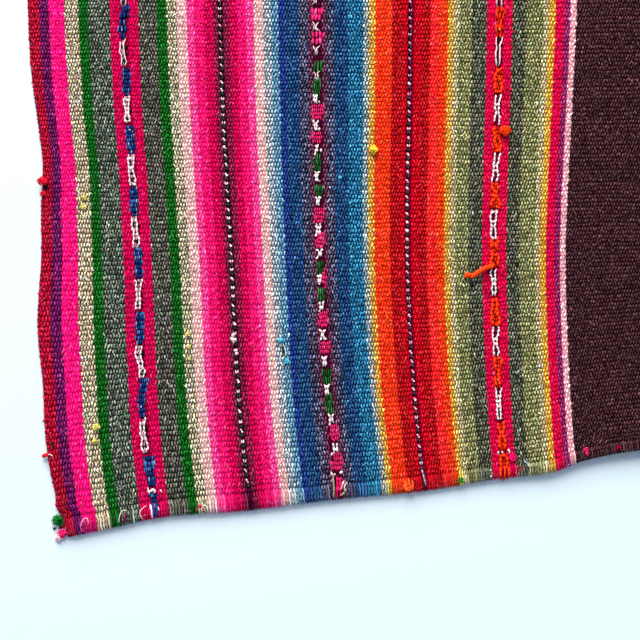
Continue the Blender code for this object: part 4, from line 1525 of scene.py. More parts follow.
@dataclass
class PatternColumn(YarnPiece):
    """The yarns that lie over a figured stripe of one panel."""

    shape: PanelShape
    figure: Figure

    def __post_init__(self) -> None:
        """Finds the stripe's middle end and starts with no yarns."""
        super().__post_init__()
        number = [stripe.figure for stripe in WARP].index(self.figure)
        self.middle = float(BORDERS[number] + BORDERS[number + 1]) / 2
        self.last = float(pick_at(PANEL_LENGTH - HEADING_DEPTH))
        self.dice = np.random.default_rng(SEED + 3)

    def add_run(self, run: Run, shift: float, close: bool) -> None:
        """Adds a strand that swells over each pick and dips between.

        Args:
            run: the strand.
            shift: how many picks further it lies than its rows say.
            close: whether it is seen close up.
        """
        rows = np.array(run.rows, float)
        length = np.abs(np.diff(rows, axis=0)).sum()
        stations = int(np.clip(length * (3.4 if close else 0.8), 2, 34)) + 1
        path = smooth_path(rows, stations)
        pick = path[:, 1] + shift
        if pick.min() < 0.4 or pick.max() > self.last:
            return
        end = self.middle + path[:, 0] + self.dice.normal(0, run.wander, stations)
        across, along = end * END_PITCH, pick_place(pick)
        swell = np.cos(2 * np.pi * path[:, 1]) if close else np.zeros(stations)
        lift = run.lift + 0.05 * swell
        point = self.shape.place(across, along, self.shape.thickness(across, along) + lift * MM)
        bright, deep, mottle = (row[0] for row in dye_rows([run.wool]))
        # Painted light and shade: lighter where the strand swells over a pick, darker in the dips and at its
        # ends
        tone = 0.82 + 0.18 * swell - mottle * self.dice.random(stations)
        tone = tone * np.interp(np.arange(stations), (0, 1, stations - 2, stations - 1), (0.6, 1, 1, 0.6))
        radii = run.radius * MM * (1 + 0.22 * swell + self.dice.normal(0, 0.12, stations))
        radii[[0, -1]] *= 0.6
        colours = mixed(deep, bright, tone[:, None])
        add_tubes(self.skein, point[None], radii[None], colours[None], 6 if close else 3)

    def add_floats(self, floats: list[Float], shift: float) -> None:
        """Adds pattern floats, all at once.

        Args:
            floats: the floats.
            shift: how many picks further they lie than they say.
        """
        end, pick, half_ends, half_picks, height = np.array(
            [(f.end, f.pick + shift, f.half_ends, f.half_picks, f.height) for f in floats]
        ).T
        bright, deep, mottle = dye_rows([f.wool for f in floats])
        here = (pick - half_picks > 0.3) & (pick + half_picks < self.last)
        count = int(here.sum())
        if count == 0:
            return
        tone = 1 - (mottle * self.dice.random(len(floats)))[here][:, None]
        along = pick_place(pick[here])
        Grains(
            across=(self.middle + end[here]) * END_PITCH,
            along=along,
            half_width=half_ends[here] * END_PITCH,
            half_length=pick_place(pick[here] + half_picks[here]) - along,
            height=height[here] * MM,
            slant=self.dice.normal(0.06, 0.06, count),
            sink=np.full(count, 0.08 * MM),
            bright=mixed(deep[here], bright[here], tone),
            deep=deep[here],
            dice=self.dice,
        ).add_to(self.skein, self.shape)


@dataclass
class FigureColumn(PatternColumn):
    """A figured stripe with blocks and nets, charted near the front and repeated beyond.

    repeat is in picks. fresh is the number of the first motif that comes again, and
    tightness how close a net's strands lie, as a share of what their rows say.
    """

    motifs: tuple
    repeat: float
    fresh: int
    tightness: float = 0.82

    def lay(self) -> None:
        """Lays all the repeats of the figure."""
        again = self.motifs[self.fresh :]
        bases = self.motifs[-1].pick + self.repeat * np.arange(1, 200)
        turn = 0
        if self.shape.side < 0:
            for motif in self.motifs:
                self.add_motif(motif, 0.0, True)
        else:
            bases = self.motifs[0].pick + 1.5 + self.repeat * np.arange(200)
            turn = 2 if len(again) < 12 else 8
        for number, base in enumerate(bases[bases < self.last + self.repeat]):
            motif = again[(number + turn) % len(again)]
            self.add_motif(motif, base - motif.pick, False)

    def add_motif(self, motif: Motif, shift: float, close: bool) -> None:
        """Adds one repeat, its parts in order.

        Args:
            motif: the repeat.
            shift: how many picks further it lies.
            close: whether it is seen close up.
        """
        for part in motif.parts:
            if isinstance(part, Block):
                self.add_floats(self.block_floats(part, 1.0 if close else 1.7), shift)
            elif isinstance(part, Net):
                self.add_net(part, shift, close)
            elif isinstance(part, Run):
                self.add_run(part, shift, close)
            else:
                self.add_floats([part], shift)

    def add_net(self, net: Net, shift: float, close: bool) -> None:
        """Adds a net: the lower yarn between the strands, white in painted shade in the blue figure, the
        eyes on it, then the strands.

        Args:
            net: the net.
            shift: how many picks further it lies.
            close: whether it is seen close up.
        """
        left, right = (smooth_path(np.array(rows), 6) for rows in (net.left, net.right))
        between = (left + right) / 2
        left, right = (between + self.tightness * (side - between) for side in (left, right))
        # The blue figure's lower yarn is white in painted shade; the others take the wine ground
        between_wool = Wool.SHADED_WHITE if self.figure is Figure.BLUE_AND_WHITE else Wool.WINE_GROUND
        self.add_run(Run(between_wool, 0.25, tuple(between), -0.12, 0.2), shift, close)
        eyes = [Float(net.eye_wool, end, pick, 0.95, half + 0.22, 0.33) for end, pick, half in net.eyes]
        if eyes:
            self.add_floats(eyes, shift)
        low, high = max(left[-1, 1], right[-1, 1]), min(left[0, 1], right[0, 1])
        for number, pick in enumerate(np.arange(low + 0.5, high - 0.2, 1.2 if close else 99.0)):
            clear = [abs(pick - eye_pick) - half for _, eye_pick, half in net.eyes]
            if min(clear, default=1.0) < 0.12:
                continue
            start = float(np.interp(pick, left[::-1, 1], left[::-1, 0]))
            stop = float(np.interp(pick, right[::-1, 1], right[::-1, 0]))
            rise = (0.4, -0.35)[number % 2]
            rows = ((start, pick + rise), (stop, pick - rise))
            self.add_run(Run(Wool.WHITE, 0.19, rows, 0.06), shift, close)
        for side in (left, right):
            self.add_run(Run(Wool.WHITE, 0.22, tuple(side), wander=0.24), shift, close)

    def block_floats(self, block: Block, coarse: float) -> list[Float]:
        """The floats of a block, over a low near-black one in each row: the dark weft between them, with
        painted shade.

        A float's end is the row's left side plus its number times the spacing.

        Args:
            block: the block.
            coarse: how many times bigger and fewer the floats are than their style says.

        Returns:
            The floats, the dark ones first.
        """
        style = block.style
        pick, left, right = np.array(block.sides[::-1], float).T
        rows = np.arange(pick[0] + 0.35 * coarse, pick[-1] - 0.1, style.along * coarse)
        dark, floats = [], []
        for number, row in enumerate(rows):
            start, stop = np.interp(row, pick, left), np.interp(row, pick, right)
            reach = 0.62 * style.along * coarse
            dark.append(Float(Wool.DEEPEST, (start + stop) / 2, row, (stop - start) / 2, reach, 0.10))
            count = max(1, round((stop - start) / style.across / coarse))
            step = (stop - start) / count
            shifted = style.brick * (number % 2)
            for column in range(count + (shifted > 0)):
                end = start + (column + 0.5 - shifted) * step
                chance = self.dice.random()
                wool = block.glint if chance > 0.94 else block.speck if chance < style.specks else block.wool
                size = self.dice.normal(1, 0.1) * coarse
                where = row + self.dice.normal(0, 0.08)
                half = style.half_picks * coarse
                floats.append(Float(wool, end, where, style.half_ends * size, half, style.height))
        return dark + floats


@dataclass
class TwistColumn(PatternColumn):
    """A stripe of white spots, each one oblique float or two side by side, with dark bits between.

    single and double are the picks of the spots that the photograph shows, and extras are
    further strands there.
    """

    between: Wool
    spot: Wool
    single: tuple
    double: tuple
    lean: float
    extras: tuple = ()
    pitch: float = 1.97

    def lay(self) -> None:
        """Lays all the spots."""
        if self.shape.side < 0:
            spots = [(pick, False) for pick in self.single] + [(pick, True) for pick in self.double]
            spots.sort()
            for run in self.extras:
                self.add_run(run, 0.0, True)
        else:
            spots = [(4.0, False)]
        seen = len(spots)
        further = np.arange(spots[-1][0] + self.pitch, self.last, self.pitch)
        further = further + self.dice.normal(0, 0.08, len(further))
        spots += [(pick, self.dice.random() < 0.35) for pick in further]
        for number, (pick, two) in enumerate(spots):
            self.add_spot(float(pick), bool(two), number < seen)

    def add_spot(self, pick: float, two: bool, close: bool) -> None:
        """Adds one spot, and the dark bits on its near side: a near-black plate, the dark weft with painted
        shade, and floats of the between wool.

        Args:
            pick: where the spot is.
            two: whether it is two floats side by side.
            close: whether it is seen close up.
        """
        end = float(np.interp(pick, (0, 20, 45, 92), (self.lean, self.lean / 2, -0.3, -0.2)))
        end += float(self.dice.normal(0, 0.15))
        size = float(self.dice.normal(1, 0.15))
        bits = [
            Float(Wool.DEEPEST, end, pick - 0.95, 1.4, 0.70, 0.04),
            Float(self.between, end + 0.4, pick - 0.95, 0.6, 0.50, 0.22),
        ]
        if close:
            bits.append(Float(self.between, end - 0.7, pick - 0.85, 0.4, 0.40, 0.14))
        self.add_floats(bits, 0.0)
        if two:
            for start, stop in ((-1.0, -0.6), (0.7, 0.3)):
                rows = ((end + start, pick + 0.34), (end + stop, pick - 0.32))
                self.add_run(Run(self.spot, 0.18 * size, rows, 0.16), 0.0, close)
        else:
            rows = ((end - 0.9, pick + 0.36), (end + 0.5, pick - 0.38))
            self.add_run(Run(self.spot, 0.25 * size, rows, 0.16), 0.0, close)


TWIST_GREEN = {
    "between": Wool.GREY_GREEN, "spot": Wool.WHITE,
    "single": (92.4, 90.5, 80.6, 78.6, 76.7, 74.7, 72.6, 70.3, 66.5, 64.4, 62.3, 58.4, 54.3, 52.5, 46.9,
        41.2, 39.4, 37.3, 33.9, 31.3, 25.4, 19.3, 15.4, 7.6, 5.6),
    "double": (88.4, 86.5, 84.5, 82.6, 68.3, 60.4, 56.3, 50.7, 48.9, 45, 43.2, 35.3, 29.2, 27.3, 23.3, 21.5,
        17.2, 13.3, 11.3, 9.5), "lean": -0.2, "extras": (
            Run(Wool.BLUSH, 0.42, ((-1, 35.2), (-1.8, 34.4), (-1.4, 33.2)), 0.3),
            Run(Wool.BLUSH, 0.26, ((-3.6, 34.5), (-2.6, 34), (-1.6, 33.7)), 0.3),
            Run(Wool.BLUSH, 0.5, ((-0.4, 32), (0.1, 31.3), (0.6, 30.8)), 0.3)),
}
TWIST_MAUVE = {
    "between": Wool.GREY_MAUVE, "spot": Wool.PALE_MAUVE,
    "single": (92, 87.4, 85.3, 83.3, 78.9, 75, 73, 70.8, 68.7, 67, 64.9, 63.1, 61, 59.1, 57.1, 55, 51.3,
        49.4, 47.5, 45.4, 37.6, 35.7, 33.6, 29.5, 27.5, 25.3, 23.4, 21.5, 19.3, 17.4, 13.5, 11.5, 9.3),
    "double": (89.5, 81.2, 77.1, 53.1, 43.4, 41.5, 39.7, 31.6, 15.4, 7.4, 5.7), "lean": -0.9,
    "extras": (Run(Wool.GREY_MAUVE, 0.2, ((-1.5, 4.9), (-0.6, 3.2), (-0.2, 1)), 0.36),
        Run(Wool.GREY_MAUVE, 0.18, ((-0.4, 4.6), (0.4, 3), (0.9, 0.8)), 0.36),
        Run(Wool.PALE_MAUVE, 0.11, ((-1, 4.4), (-0.3, 2.8), (0.6, 1.2)), 0.52)),
}


@dataclass
class CentreSeam(YarnPiece):
    """The joining stitches: a brown yarn that crosses the two inner selvedges and back."""

    slot = "seam_wool"

    middle_x: float
    middle_y: float
    pitch: float = 2.6 * MM
    reach: float = 2.1 * MM
    radius: float = 0.42 * MM
    inset: float = 3.0 * MM

    def lay(self) -> None:
        """Lays the stitches, each an arch from one panel to the other and slanting forwards."""
        dice = np.random.default_rng(SEED + 4)
        half = PANEL_LENGTH / 2 - self.inset
        middles = np.arange(-half + self.pitch, half - self.pitch, self.pitch)
        turn = np.linspace(0, np.pi, 7)
        for lean in (0.42, -0.42):
            x = -np.cos(turn) * self.reach + dice.normal(0, 0.08, (len(middles), 1)) * MM
            y = middles[:, None] - np.cos(turn) * self.pitch * lean * 2.2
            y = y + dice.normal(0, 0.1, (len(middles), 1)) * MM
            top = CLOTH_THICKNESS + (np.sin(turn) ** 0.6 * 0.62 - 0.12) * MM
            z = underside(x, y) + top + (lean > 0) * 0.18 * MM
            paths = np.stack((x + self.middle_x, y + self.middle_y, z), axis=-1)
            bright, deep, _ = (row[0] for row in dye_rows([Wool.PAMPA]))
            uneven = 0.7 + 0.6 * dice.random((len(middles), 1, 1))
            # Painted light and shade: each stitch darker where it dives into the cloth, lighter over its top
            colours = mixed(deep, bright, (0.2 + 0.45 * np.sin(turn))[None, :, None] * uneven)
            add_tubes(self.skein, paths, np.full(x.shape, self.radius), colours, 4)


@dataclass(frozen=True)
class PhotoFrame:
    """Where a pixel of the photograph falls on the cloth, and how high the cloth is there."""

    shape: PanelShape

    def spot(self, px: Array, py: Array) -> tuple[Array, Array]:
        """The place in the frame under a pixel."""
        x = self.shape.middle_x - SELVEDGE_FROM_MIDDLE + (np.asarray(px, float) - SELVEDGE_PX) * PIXEL
        y = self.shape.middle_y - END_FROM_MIDDLE + (FRONT_END_PX - np.asarray(py, float)) * PIXEL
        return x, y

    def ground(self, x: Array, y: Array) -> Array:
        """Height of what a loose thread lies on: the cloth's top, or the surface beside it.

        Args:
            x: places in the frame.
            y: places in the frame.

        Returns:
            The height at each place.
        """
        across, along = self.shape.locate(x, y)
        inside = (across > 0.1 * MM) & (along > 0.1 * MM)
        lift = underside(x - self.shape.middle_x, y - self.shape.middle_y)
        top = lift + self.shape.thickness(np.maximum(across, 0), np.maximum(along, 0))
        return np.where(inside, top, 0.0)


@dataclass(frozen=True)
class Thread:
    """A loose yarn: its wool, radius in millimetres and plies, and its route.

    The route's rows are pixels across and down in the photograph's frame, and the height of
    the yarn's underside above what it lies on, in millimetres.
    """

    wool: Wool
    radius: float
    route: tuple
    plies: int = 1


@dataclass
class LooseThreads(YarnPiece):
    """Loose yarns that lie on the cloth where the photograph shows them."""

    frame: PhotoFrame
    threads: tuple
    slot: str = "striped_wool"
    turns_per_mm: float = 0.42

    def lay(self) -> None:
        """Lays the yarns, a plied one as helices wound round its route."""
        for thread in self.threads:
            self.add_thread(thread)

    def add_thread(self, thread: Thread) -> None:
        """Adds one yarn: each ply's distance from the route is its radius, turning evenly.

        Args:
            thread: the yarn.
        """
        rows = np.array(thread.route, float)
        stations = max(8, 7 * len(rows)) if thread.plies > 1 else max(6, 4 * len(rows))
        path = smooth_path(rows, stations)
        x, y = self.frame.spot(path[:, 0], path[:, 1])
        z = self.frame.ground(x, y) + (path[:, 2] + thread.radius) * MM
        route = np.stack((x, y, z), axis=-1)
        bright, deep, _ = (row[0] for row in dye_rows([thread.wool]))
        # Painted shade: darker at both ends, where the yarn meets what it lies on
        tone = np.interp(np.linspace(0, 1, stations), (0, 0.08, 0.92, 1), (0.6, 1, 1, 0.6))
        colours = mixed(deep, bright, tone[:, None])
        if thread.plies == 1:
            radii = np.full((1, stations), thread.radius * MM)
            radii[:, (0, -1)] *= 0.5
            add_tubes(self.skein, route[None], radii, colours[None], 6)
            return
        run = np.concatenate(([0], np.cumsum(np.linalg.norm(np.diff(route, axis=0), axis=1))))
        sideways, upwards = directions(route)
        for ply in range(thread.plies):
            turn = 2 * np.pi * (run / MM * self.turns_per_mm + ply / thread.plies)[:, None]
            offset = np.cos(turn) * sideways + np.sin(turn) * upwards
            strand = route + 0.48 * thread.radius * MM * offset
            radii = np.full((1, stations), 0.58 * thread.radius * MM)
            radii[:, (0, -1)] *= 0.6
            add_tubes(self.skein, strand[None], radii, colours[None], 6)


@dataclass(frozen=True)
class Tuft:
    """A small frayed knot: its pixel, its radius in pixels, its wool and how many fibres."""

    px: float
    py: float
    radius: float
    wool: Wool
    fibres: int = 26
    height: float = 0.9


@dataclass
class Tufts(YarnPiece):
    """Frayed knots, each a ball that fibres are wound round, with some stray ends."""

    frame: PhotoFrame
    tufts: tuple
    slot: str = "striped_wool"
    stray_share: float = 0.22

    def lay(self) -> None:
        """Lays the knots."""
        dice = np.random.default_rng(SEED + 5)
        for tuft in self.tufts:
            self.add_tuft(tuft, dice)

    def add_tuft(self, tuft: Tuft, dice: np.random.Generator) -> None:
        """Adds one knot. A fibre is an arc of a circle round the ball's middle.

        Its points are the radius times cosine of one random direction and sine of another.

        Args:
            tuft: the knot.
            dice: the random numbers.
        """
        x, y = self.frame.spot(tuft.px, tuft.py)
        size = tuft.radius * PIXEL
        base = float(self.frame.ground(x, y))
        count, stations = tuft.fibres, 7
        first = dice.normal(0, 1, (count, 3))
        first /= np.linalg.norm(first, axis=1, keepdims=True)
        second = np.cross(first, dice.normal(0, 1, (count, 3)))
        second /= np.linalg.norm(second, axis=1, keepdims=True)
        turn = np.linspace(0, 1, stations)[None, :, None] * dice.uniform(1.1, 2.6, (count, 1, 1))
        reach = size * dice.uniform(0.80, 1.12, (count, 1, 1))
        stray = (dice.random((count, 1, 1)) < self.stray_share) * dice.uniform(0.1, 0.6, (count, 1, 1))
        reach = reach * (1 + stray * np.linspace(0, 1, stations)[None, :, None] ** 2)
        path = reach * (np.cos(turn) * first[:, None] + np.sin(turn) * second[:, None])
        path[..., 2] = (path[..., 2] + 0.75 * size) * tuft.height
        paths = path + np.array((float(x), float(y), base))
        paths[..., 2] = np.maximum(paths[..., 2], base + 0.10 * MM)
        bright, deep, _ = (row[0] for row in dye_rows([tuft.wool]))
        tone = dice.uniform(0.4, 1.2, (count, 1, 1)) + np.zeros((count, stations, 1))
        colours = np.clip(mixed(deep, bright, tone), 0, 1)
        radii = size * 0.15 * np.interp(np.linspace(0, 1, stations), (0, 0.7, 1), (0.8, 1.0, 0.4))
        add_tubes(self.skein, paths, np.tile(radii, (count, 1)), colours, 4)
        core = np.tile((float(x), float(y), base + 0.66 * size * tuft.height), (5, 1))
        core[:, 0] += np.array((-0.62, -0.4, 0.0, 0.4, 0.62)) * size
        thick = size * tuft.height * np.array((0.30, 0.66, 0.80, 0.66, 0.30))
        # Painted shade: the ball's core is darker, shade inside the knot
        inside = np.tile(mixed(deep, bright, 0.45), (1, 5, 1))
        add_tubes(self.skein, core[None], thick[None], inside, 7)


# Where hairs stand: how many, their spans across and along, and their usual length
Patch = namedtuple("Patch", "hairs across along length")
FUZZ = table(Patch,
    (420, (0.3, 166), (0.1, 0.8), 1.7), (150, (0.1, 0.6), (2, 128), 1.2), (130, (2, 160), (4, 128), 1.5),
)
HAIR_LENGTHS = (0.6, 2.8)


@dataclass
class Fuzz(YarnPiece):
    """Fine hairs of wool that stand off the cloth's edges and face."""

    frame: PhotoFrame
    radius: float = 0.024 * MM
    stations: int = 5

    def lay(self) -> None:
        """Lays the hairs: each leaves its yarn, rises and curls, with an even bend."""
        dice = np.random.default_rng(SEED + 6)
        shape = self.frame.shape
        patches = [self.scatter(dice, patch) for patch in FUZZ]
        across, along, length = (np.concatenate(parts) for parts in zip(*patches))
        count = len(across)
        start = shape.place(across, along, shape.thickness(across, along) + 0.12 * MM)
        heading = dice.uniform(0, 2 * np.pi, count)
        bend = dice.normal(0, 1.6, count)
        s = np.linspace(0, 1, self.stations)
        angle = heading[:, None] + bend[:, None] * s
        step = length[:, None] / (self.stations - 1)
        x = start[:, 0, None] + np.cumsum(np.cos(angle) * step, axis=1) - np.cos(angle) * step
        y = start[:, 1, None] + np.cumsum(np.sin(angle) * step, axis=1) - np.sin(angle) * step
        rise = dice.uniform(0.15, 0.6, (count, 1)) * MM * np.sin(np.pi * s)
        ground = self.frame.ground(x, y)
        lowest = ground + 0.10 * MM
        z = np.maximum(np.maximum(mixed(start[:, 2, None], lowest, s), lowest) + rise, 0.08 * MM)
        wools = end_wools()
        end = np.clip((across / END_PITCH).astype(int), 0, len(wools) - 1)
        bright, _, _ = dye_rows(wools)
        pale = dice.uniform(0.0, 0.12, (count, 1))
        tint = mixed(bright[end], linear_rgb(Wool.BLUSH.value.bright), pale)
        colours = np.repeat(tint[:, None], self.stations, axis=1)
        taper = np.interp(s, (0, 0.7, 1), (1.0, 0.9, 0.4)) * self.radius
        add_tubes(self.skein, np.stack((x, y, z), axis=-1), np.tile(taper, (count, 1)), colours, 3)

    def scatter(self, dice: np.random.Generator, patch: Patch) -> tuple:
        """Random starts for hairs.

        Args:
            dice: the random numbers.
            patch: where the hairs stand.

        Returns:
            Arrays of distance across, distance along and length, in metres.
        """
        across, along = (dice.uniform(*span, patch.hairs) * MM for span in (patch.across, patch.along))
        length = np.clip(dice.gamma(3, patch.length / 3, patch.hairs), *HAIR_LENGTHS) * MM
        return across, along, length


@dataclass
class Studio:
    """A pale surface, one large soft light from the back and a camera straight above."""

    frame: PhotoFrame
    floor_half: float = 3.0
    floor_colour: tuple = (0.572, 0.655, 0.74)
    light_size: float = 1.3
    light_distance: float = 1.5
    light_aside: float = 0.25
    light_elevation: float = 30.0
    light_power: float = 66.0
    light_colour: tuple = (1.0, 1.0, 0.85)
    ambient: tuple = (0.42, 0.49, 0.60)

    def make(self) -> None:
        """Builds the surface, the light, the sky and the camera."""
        x, y = (float(v) for v in self.frame.spot(FRAME_PIXELS / 2, FRAME_PIXELS / 2))
        self.make_floor()
        self.make_light(x, y)
        self.make_camera(x, y)
        bpy.context.scene.view_settings.view_transform = "Standard"

    def make_floor(self) -> None:
        """A plain level surface under the cloth."""
        half = self.floor_half
        corners = np.array(((-half, -half, 0), (half, -half, 0), (half, half, 0), (-half, half, 0)), float)
        floor = mesh_object("floor", corners, np.arange(4), np.array([4]))
        graph = Graph("pale_surface")
        graph.shader.inputs["Base Color"].default_value = (*self.floor_colour, 1.0)
        graph.shader.inputs["Roughness"].default_value = 0.9
        graph.shader.inputs["Specular IOR Level"].default_value = 0.1
        floor.data.materials.append(graph.material)

    def make_light(self, x: float, y: float) -> None:
        """The main light and the even light of the room.

        Args:
            x: the place that the light is aimed at.
            y: the same, along the cloth.
        """
        rise = np.radians(self.light_elevation)
        data = bpy.data.lights.new("window", "AREA")
        data.shape = "DISK"
        data.size = self.light_size
        data.energy = self.light_power
        data.color = self.light_colour
        light = bpy.data.objects.new("window", data)
        back, up = self.light_distance * np.cos(rise), self.light_distance * np.sin(rise)
        light.location = (x - self.light_aside, y + back, up)
        aim = light.location.copy()
        aim[:] = (x - aim.x, y - aim.y, -aim.z)
        light.rotation_mode = "QUATERNION"
        light.rotation_quaternion = aim.to_track_quat("-Z", "Y")
        bpy.context.scene.collection.objects.link(light)
        world = bpy.data.worlds.new("room")
        world.use_nodes = True
        background = world.node_tree.nodes["Background"]
        background.inputs["Color"].default_value = (*self.ambient, 1.0)
        background.inputs["Strength"].default_value = 1.0
        bpy.context.scene.world = world

    def make_camera(self, x: float, y: float) -> None:
        """A camera that looks straight down and frames as many pixels as the photograph.

        Args:
            x: the place that it looks at.
            y: the same, along the cloth.
        """
        data = bpy.data.cameras.new("camera")
        data.lens = LENS_MM
        data.sensor_width = SENSOR_MM
        data.clip_start = 0.01
        camera = bpy.data.objects.new("camera", data)
        distance = FRAME_PIXELS * PIXEL * LENS_MM / SENSOR_MM
        camera.location = (x, y, CLOTH_THICKNESS + distance)
        bpy.context.scene.collection.objects.link(camera)
        bpy.context.scene.camera = camera


# The loose yarns and knots, by their places in the photograph's frame
LOOSE_YARN = table(Thread,
    (Wool.PATTERN_ORANGE, 0.66, ((494, 265, -0.2), (489, 267, 0.2), (485, 268, 0.6), (478, 272, 0.9),
        (473, 276, 0.7), (468, 275, 0.3), (464.5, 277, 0.1)), 2),
)
THREADS = table(Thread,
    (Wool.PATTERN_ORANGE, 0.4,
        ((500, 133, 0.2), (503, 128, 0.7), (508, 131, 0.9), (505, 135, 0.6), (500, 131, 0.8)), 2),
    (Wool.PATTERN_ORANGE, 0.36, ((501, 128, 0.4), (506, 134, 1), (509, 128, 0.5)), 2),
    (Wool.BLUSH, 0.07, ((81, 527, 0.1), (83, 520, 0.3), (87, 518, 0.3), (89, 524, 0.2))),
    (Wool.CANDY, 0.08, ((84, 533, 0.1), (80.5, 526, 0.3), (83, 519.5, 0.3), (86, 526, 0.2))),
    (Wool.PLUM_GROUND, 0.1, ((83.5, 530, 0.1), (86, 527, 0.3), (84.5, 523, 0.3), (87.5, 521, 0.2))),
    (Wool.MULBERRY, 0.2, ((86, 520, 0.2), (88, 525, 0.4), (86.5, 530, 0.2))),
    (Wool.BEIGE, 0.08, ((119, 523, 0.1), (119.5, 517, 0.3), (122, 511, 0.2), (127, 510, 0.1))),
    (Wool.PLUM_GROUND, 0.26, ((123, 522, 0.1), (125.5, 518, 0.4), (126, 512.5, 0.1))),
    (Wool.WHITE, 0.22, ((151, 505, 0.1), (152, 512, 0.3), (152.5, 519, 0.1))),
    (Wool.BLUSH, 0.08,
        ((147, 505, 0.1), (141, 510, 0.3), (140.4, 515, 0.4), (144, 520, 0.3), (150, 520.5, 0.1))),
    (Wool.WHITE, 0.16, ((152, 492, 0.2), (153, 489.3, 0.4), (155.6, 490.5, 0.4), (154.2, 493, 0.2))),
    (Wool.WHITE, 0.14, ((160.2, 489.5, 0.2), (161.3, 490.7, 0.3), (162, 492.5, 0.1))),
    (Wool.WHITE, 0.14, ((158, 506.5, 0.2), (158.7, 508.6, 0.3), (159.2, 510.5, 0.1))),
    (Wool.LOOSE_RED, 0.16, ((197, 511, 0.1), (199, 505.5, 0.3), (202, 506, 0.3), (203, 511, 0.1))),
    (Wool.WHITE, 0.12, ((201, 511.5, 0.1), (204, 505, 0.3), (207, 507, 0.3), (207.5, 511.5, 0.1))),
    (Wool.ORANGE, 0.2, ((404, 480, 0.1), (406, 487, 0.35), (405, 494, 0.1))),
    (Wool.ORANGE, 0.2, ((408, 478, 0.1), (410, 486, 0.4), (409, 495, 0.1))),
    (Wool.ORANGE, 0.18, ((412, 480, 0.1), (413, 487, 0.3), (412, 493, 0.1))),
    (Wool.CHARCOAL, 0.15, ((333.2, 474, 0.2), (334, 487, 0.3), (333.6, 500, 0.1))),
    (Wool.CERISE, 0.18, ((336.6, 476, 0.2), (337.4, 487, 0.3), (337, 498, 0.1))),
    (Wool.CERISE, 0.17, ((340.4, 477, 0.2), (340.8, 487, 0.3), (340, 497, 0.1))),
    (Wool.GREEN, 0.2, ((343.4, 487, 0.2), (344.6, 492, 0.3), (344, 498, 0.1))),
    (Wool.BLUSH, 0.14, ((347, 482, 0.3), (344.5, 486, 0.5), (345, 491, 0.4), (340, 496, 0.1)), 2),
    (Wool.WHITE, 0.2, ((340.8, 471, 0.3), (342.4, 473, 0.2))),
    (Wool.BEIGE, 0.07,
        ((283, 344, 0.2), (285.5, 349, 0.4), (285, 356, 0.3), (281, 358, 0.2), (280, 353, 0.1))),
    (Wool.BLACK, 0.26, ((282, 347, 0), (283.5, 351, 0.05), (285, 356, 0))),
    (Wool.LIGHT_GREEN, 0.15, ((124.6, 412.5, 0.1), (125.2, 414.5, 0.15), (125, 416.5, 0.1))),
    (Wool.LIGHT_GREEN, 0.15, ((127.6, 414.5, 0.1), (128.4, 416.5, 0.15), (128, 418.5, 0.1))),
    (Wool.LOOSE_RED, 0.52, ((42, 457, 0.3), (44.5, 455.5, 0.6), (47.5, 455, 0.3))),
    (Wool.BLUSH, 0.12, ((47, 455, 0.3), (50, 454.5, 0.3), (53, 456, 0.1))),
    (Wool.BLACK, 0.36, ((51.5, 442, 0), (52.8, 444, 0.2), (53.8, 446, 0))),
    (Wool.PALE_MAUVE, 0.15, ((498.2, 451, 0.2), (498.6, 453.4, 0.2))),
    (Wool.PALE_MAUVE, 0.15, ((502, 450.8, 0.2), (502.6, 453, 0.2))),
    (Wool.PALE_MAUVE, 0.15, ((508.2, 448.8, 0.2), (509.8, 451.6, 0.2))),
    (Wool.PATTERN_ORANGE, 0.3, ((500.6, 467, 0.1), (500.2, 473, 0.25), (501.4, 480.5, 0.1))),
    (Wool.PATTERN_ORANGE, 0.26, ((504.4, 466, 0.1), (504.8, 473, 0.25), (504.2, 481.5, 0.1))),
    (Wool.PATTERN_ORANGE, 0.28, ((508.2, 467, 0.1), (508.6, 473, 0.25), (507.8, 480, 0.1))),
    (Wool.NAVY, 0.26, ((153.2, 503, 0.1), (154, 510, 0.25), (154.2, 517.5, 0.1))),
    (Wool.NAVY, 0.24, ((156.2, 503, 0.1), (157.2, 509, 0.25), (157, 516.5, 0.1))),
    (Wool.WHITE, 0.16, ((490, 469.4, 0.2), (491, 470.8, 0.2))),
    (Wool.WHITE, 0.16, ((490.4, 475.4, 0.2), (491.4, 476.8, 0.2))),
    (Wool.RED_GROUND, 0.12, ((517.6, 469, 0.2), (519, 466.2, 0.3), (521.8, 467.6, 0.3), (520.4, 470.8, 0.2),
        (517.8, 469.6, 0.2))),
    (Wool.PALE_BLUE, 0.06, ((524.5, 460.5, 0.2), (526.5, 463, 0.4), (529, 466, 0.4), (530.5, 472, 0.2))),
    (Wool.SKY, 0.06, ((523.6, 463, 0.2), (526, 461.6, 0.4), (528, 463, 0.4), (527, 465.6, 0.2))),
    (Wool.CRIMSON, 0.05, ((143, 290, 0.2), (148, 294, 0.4), (153, 295, 0.2))),
)
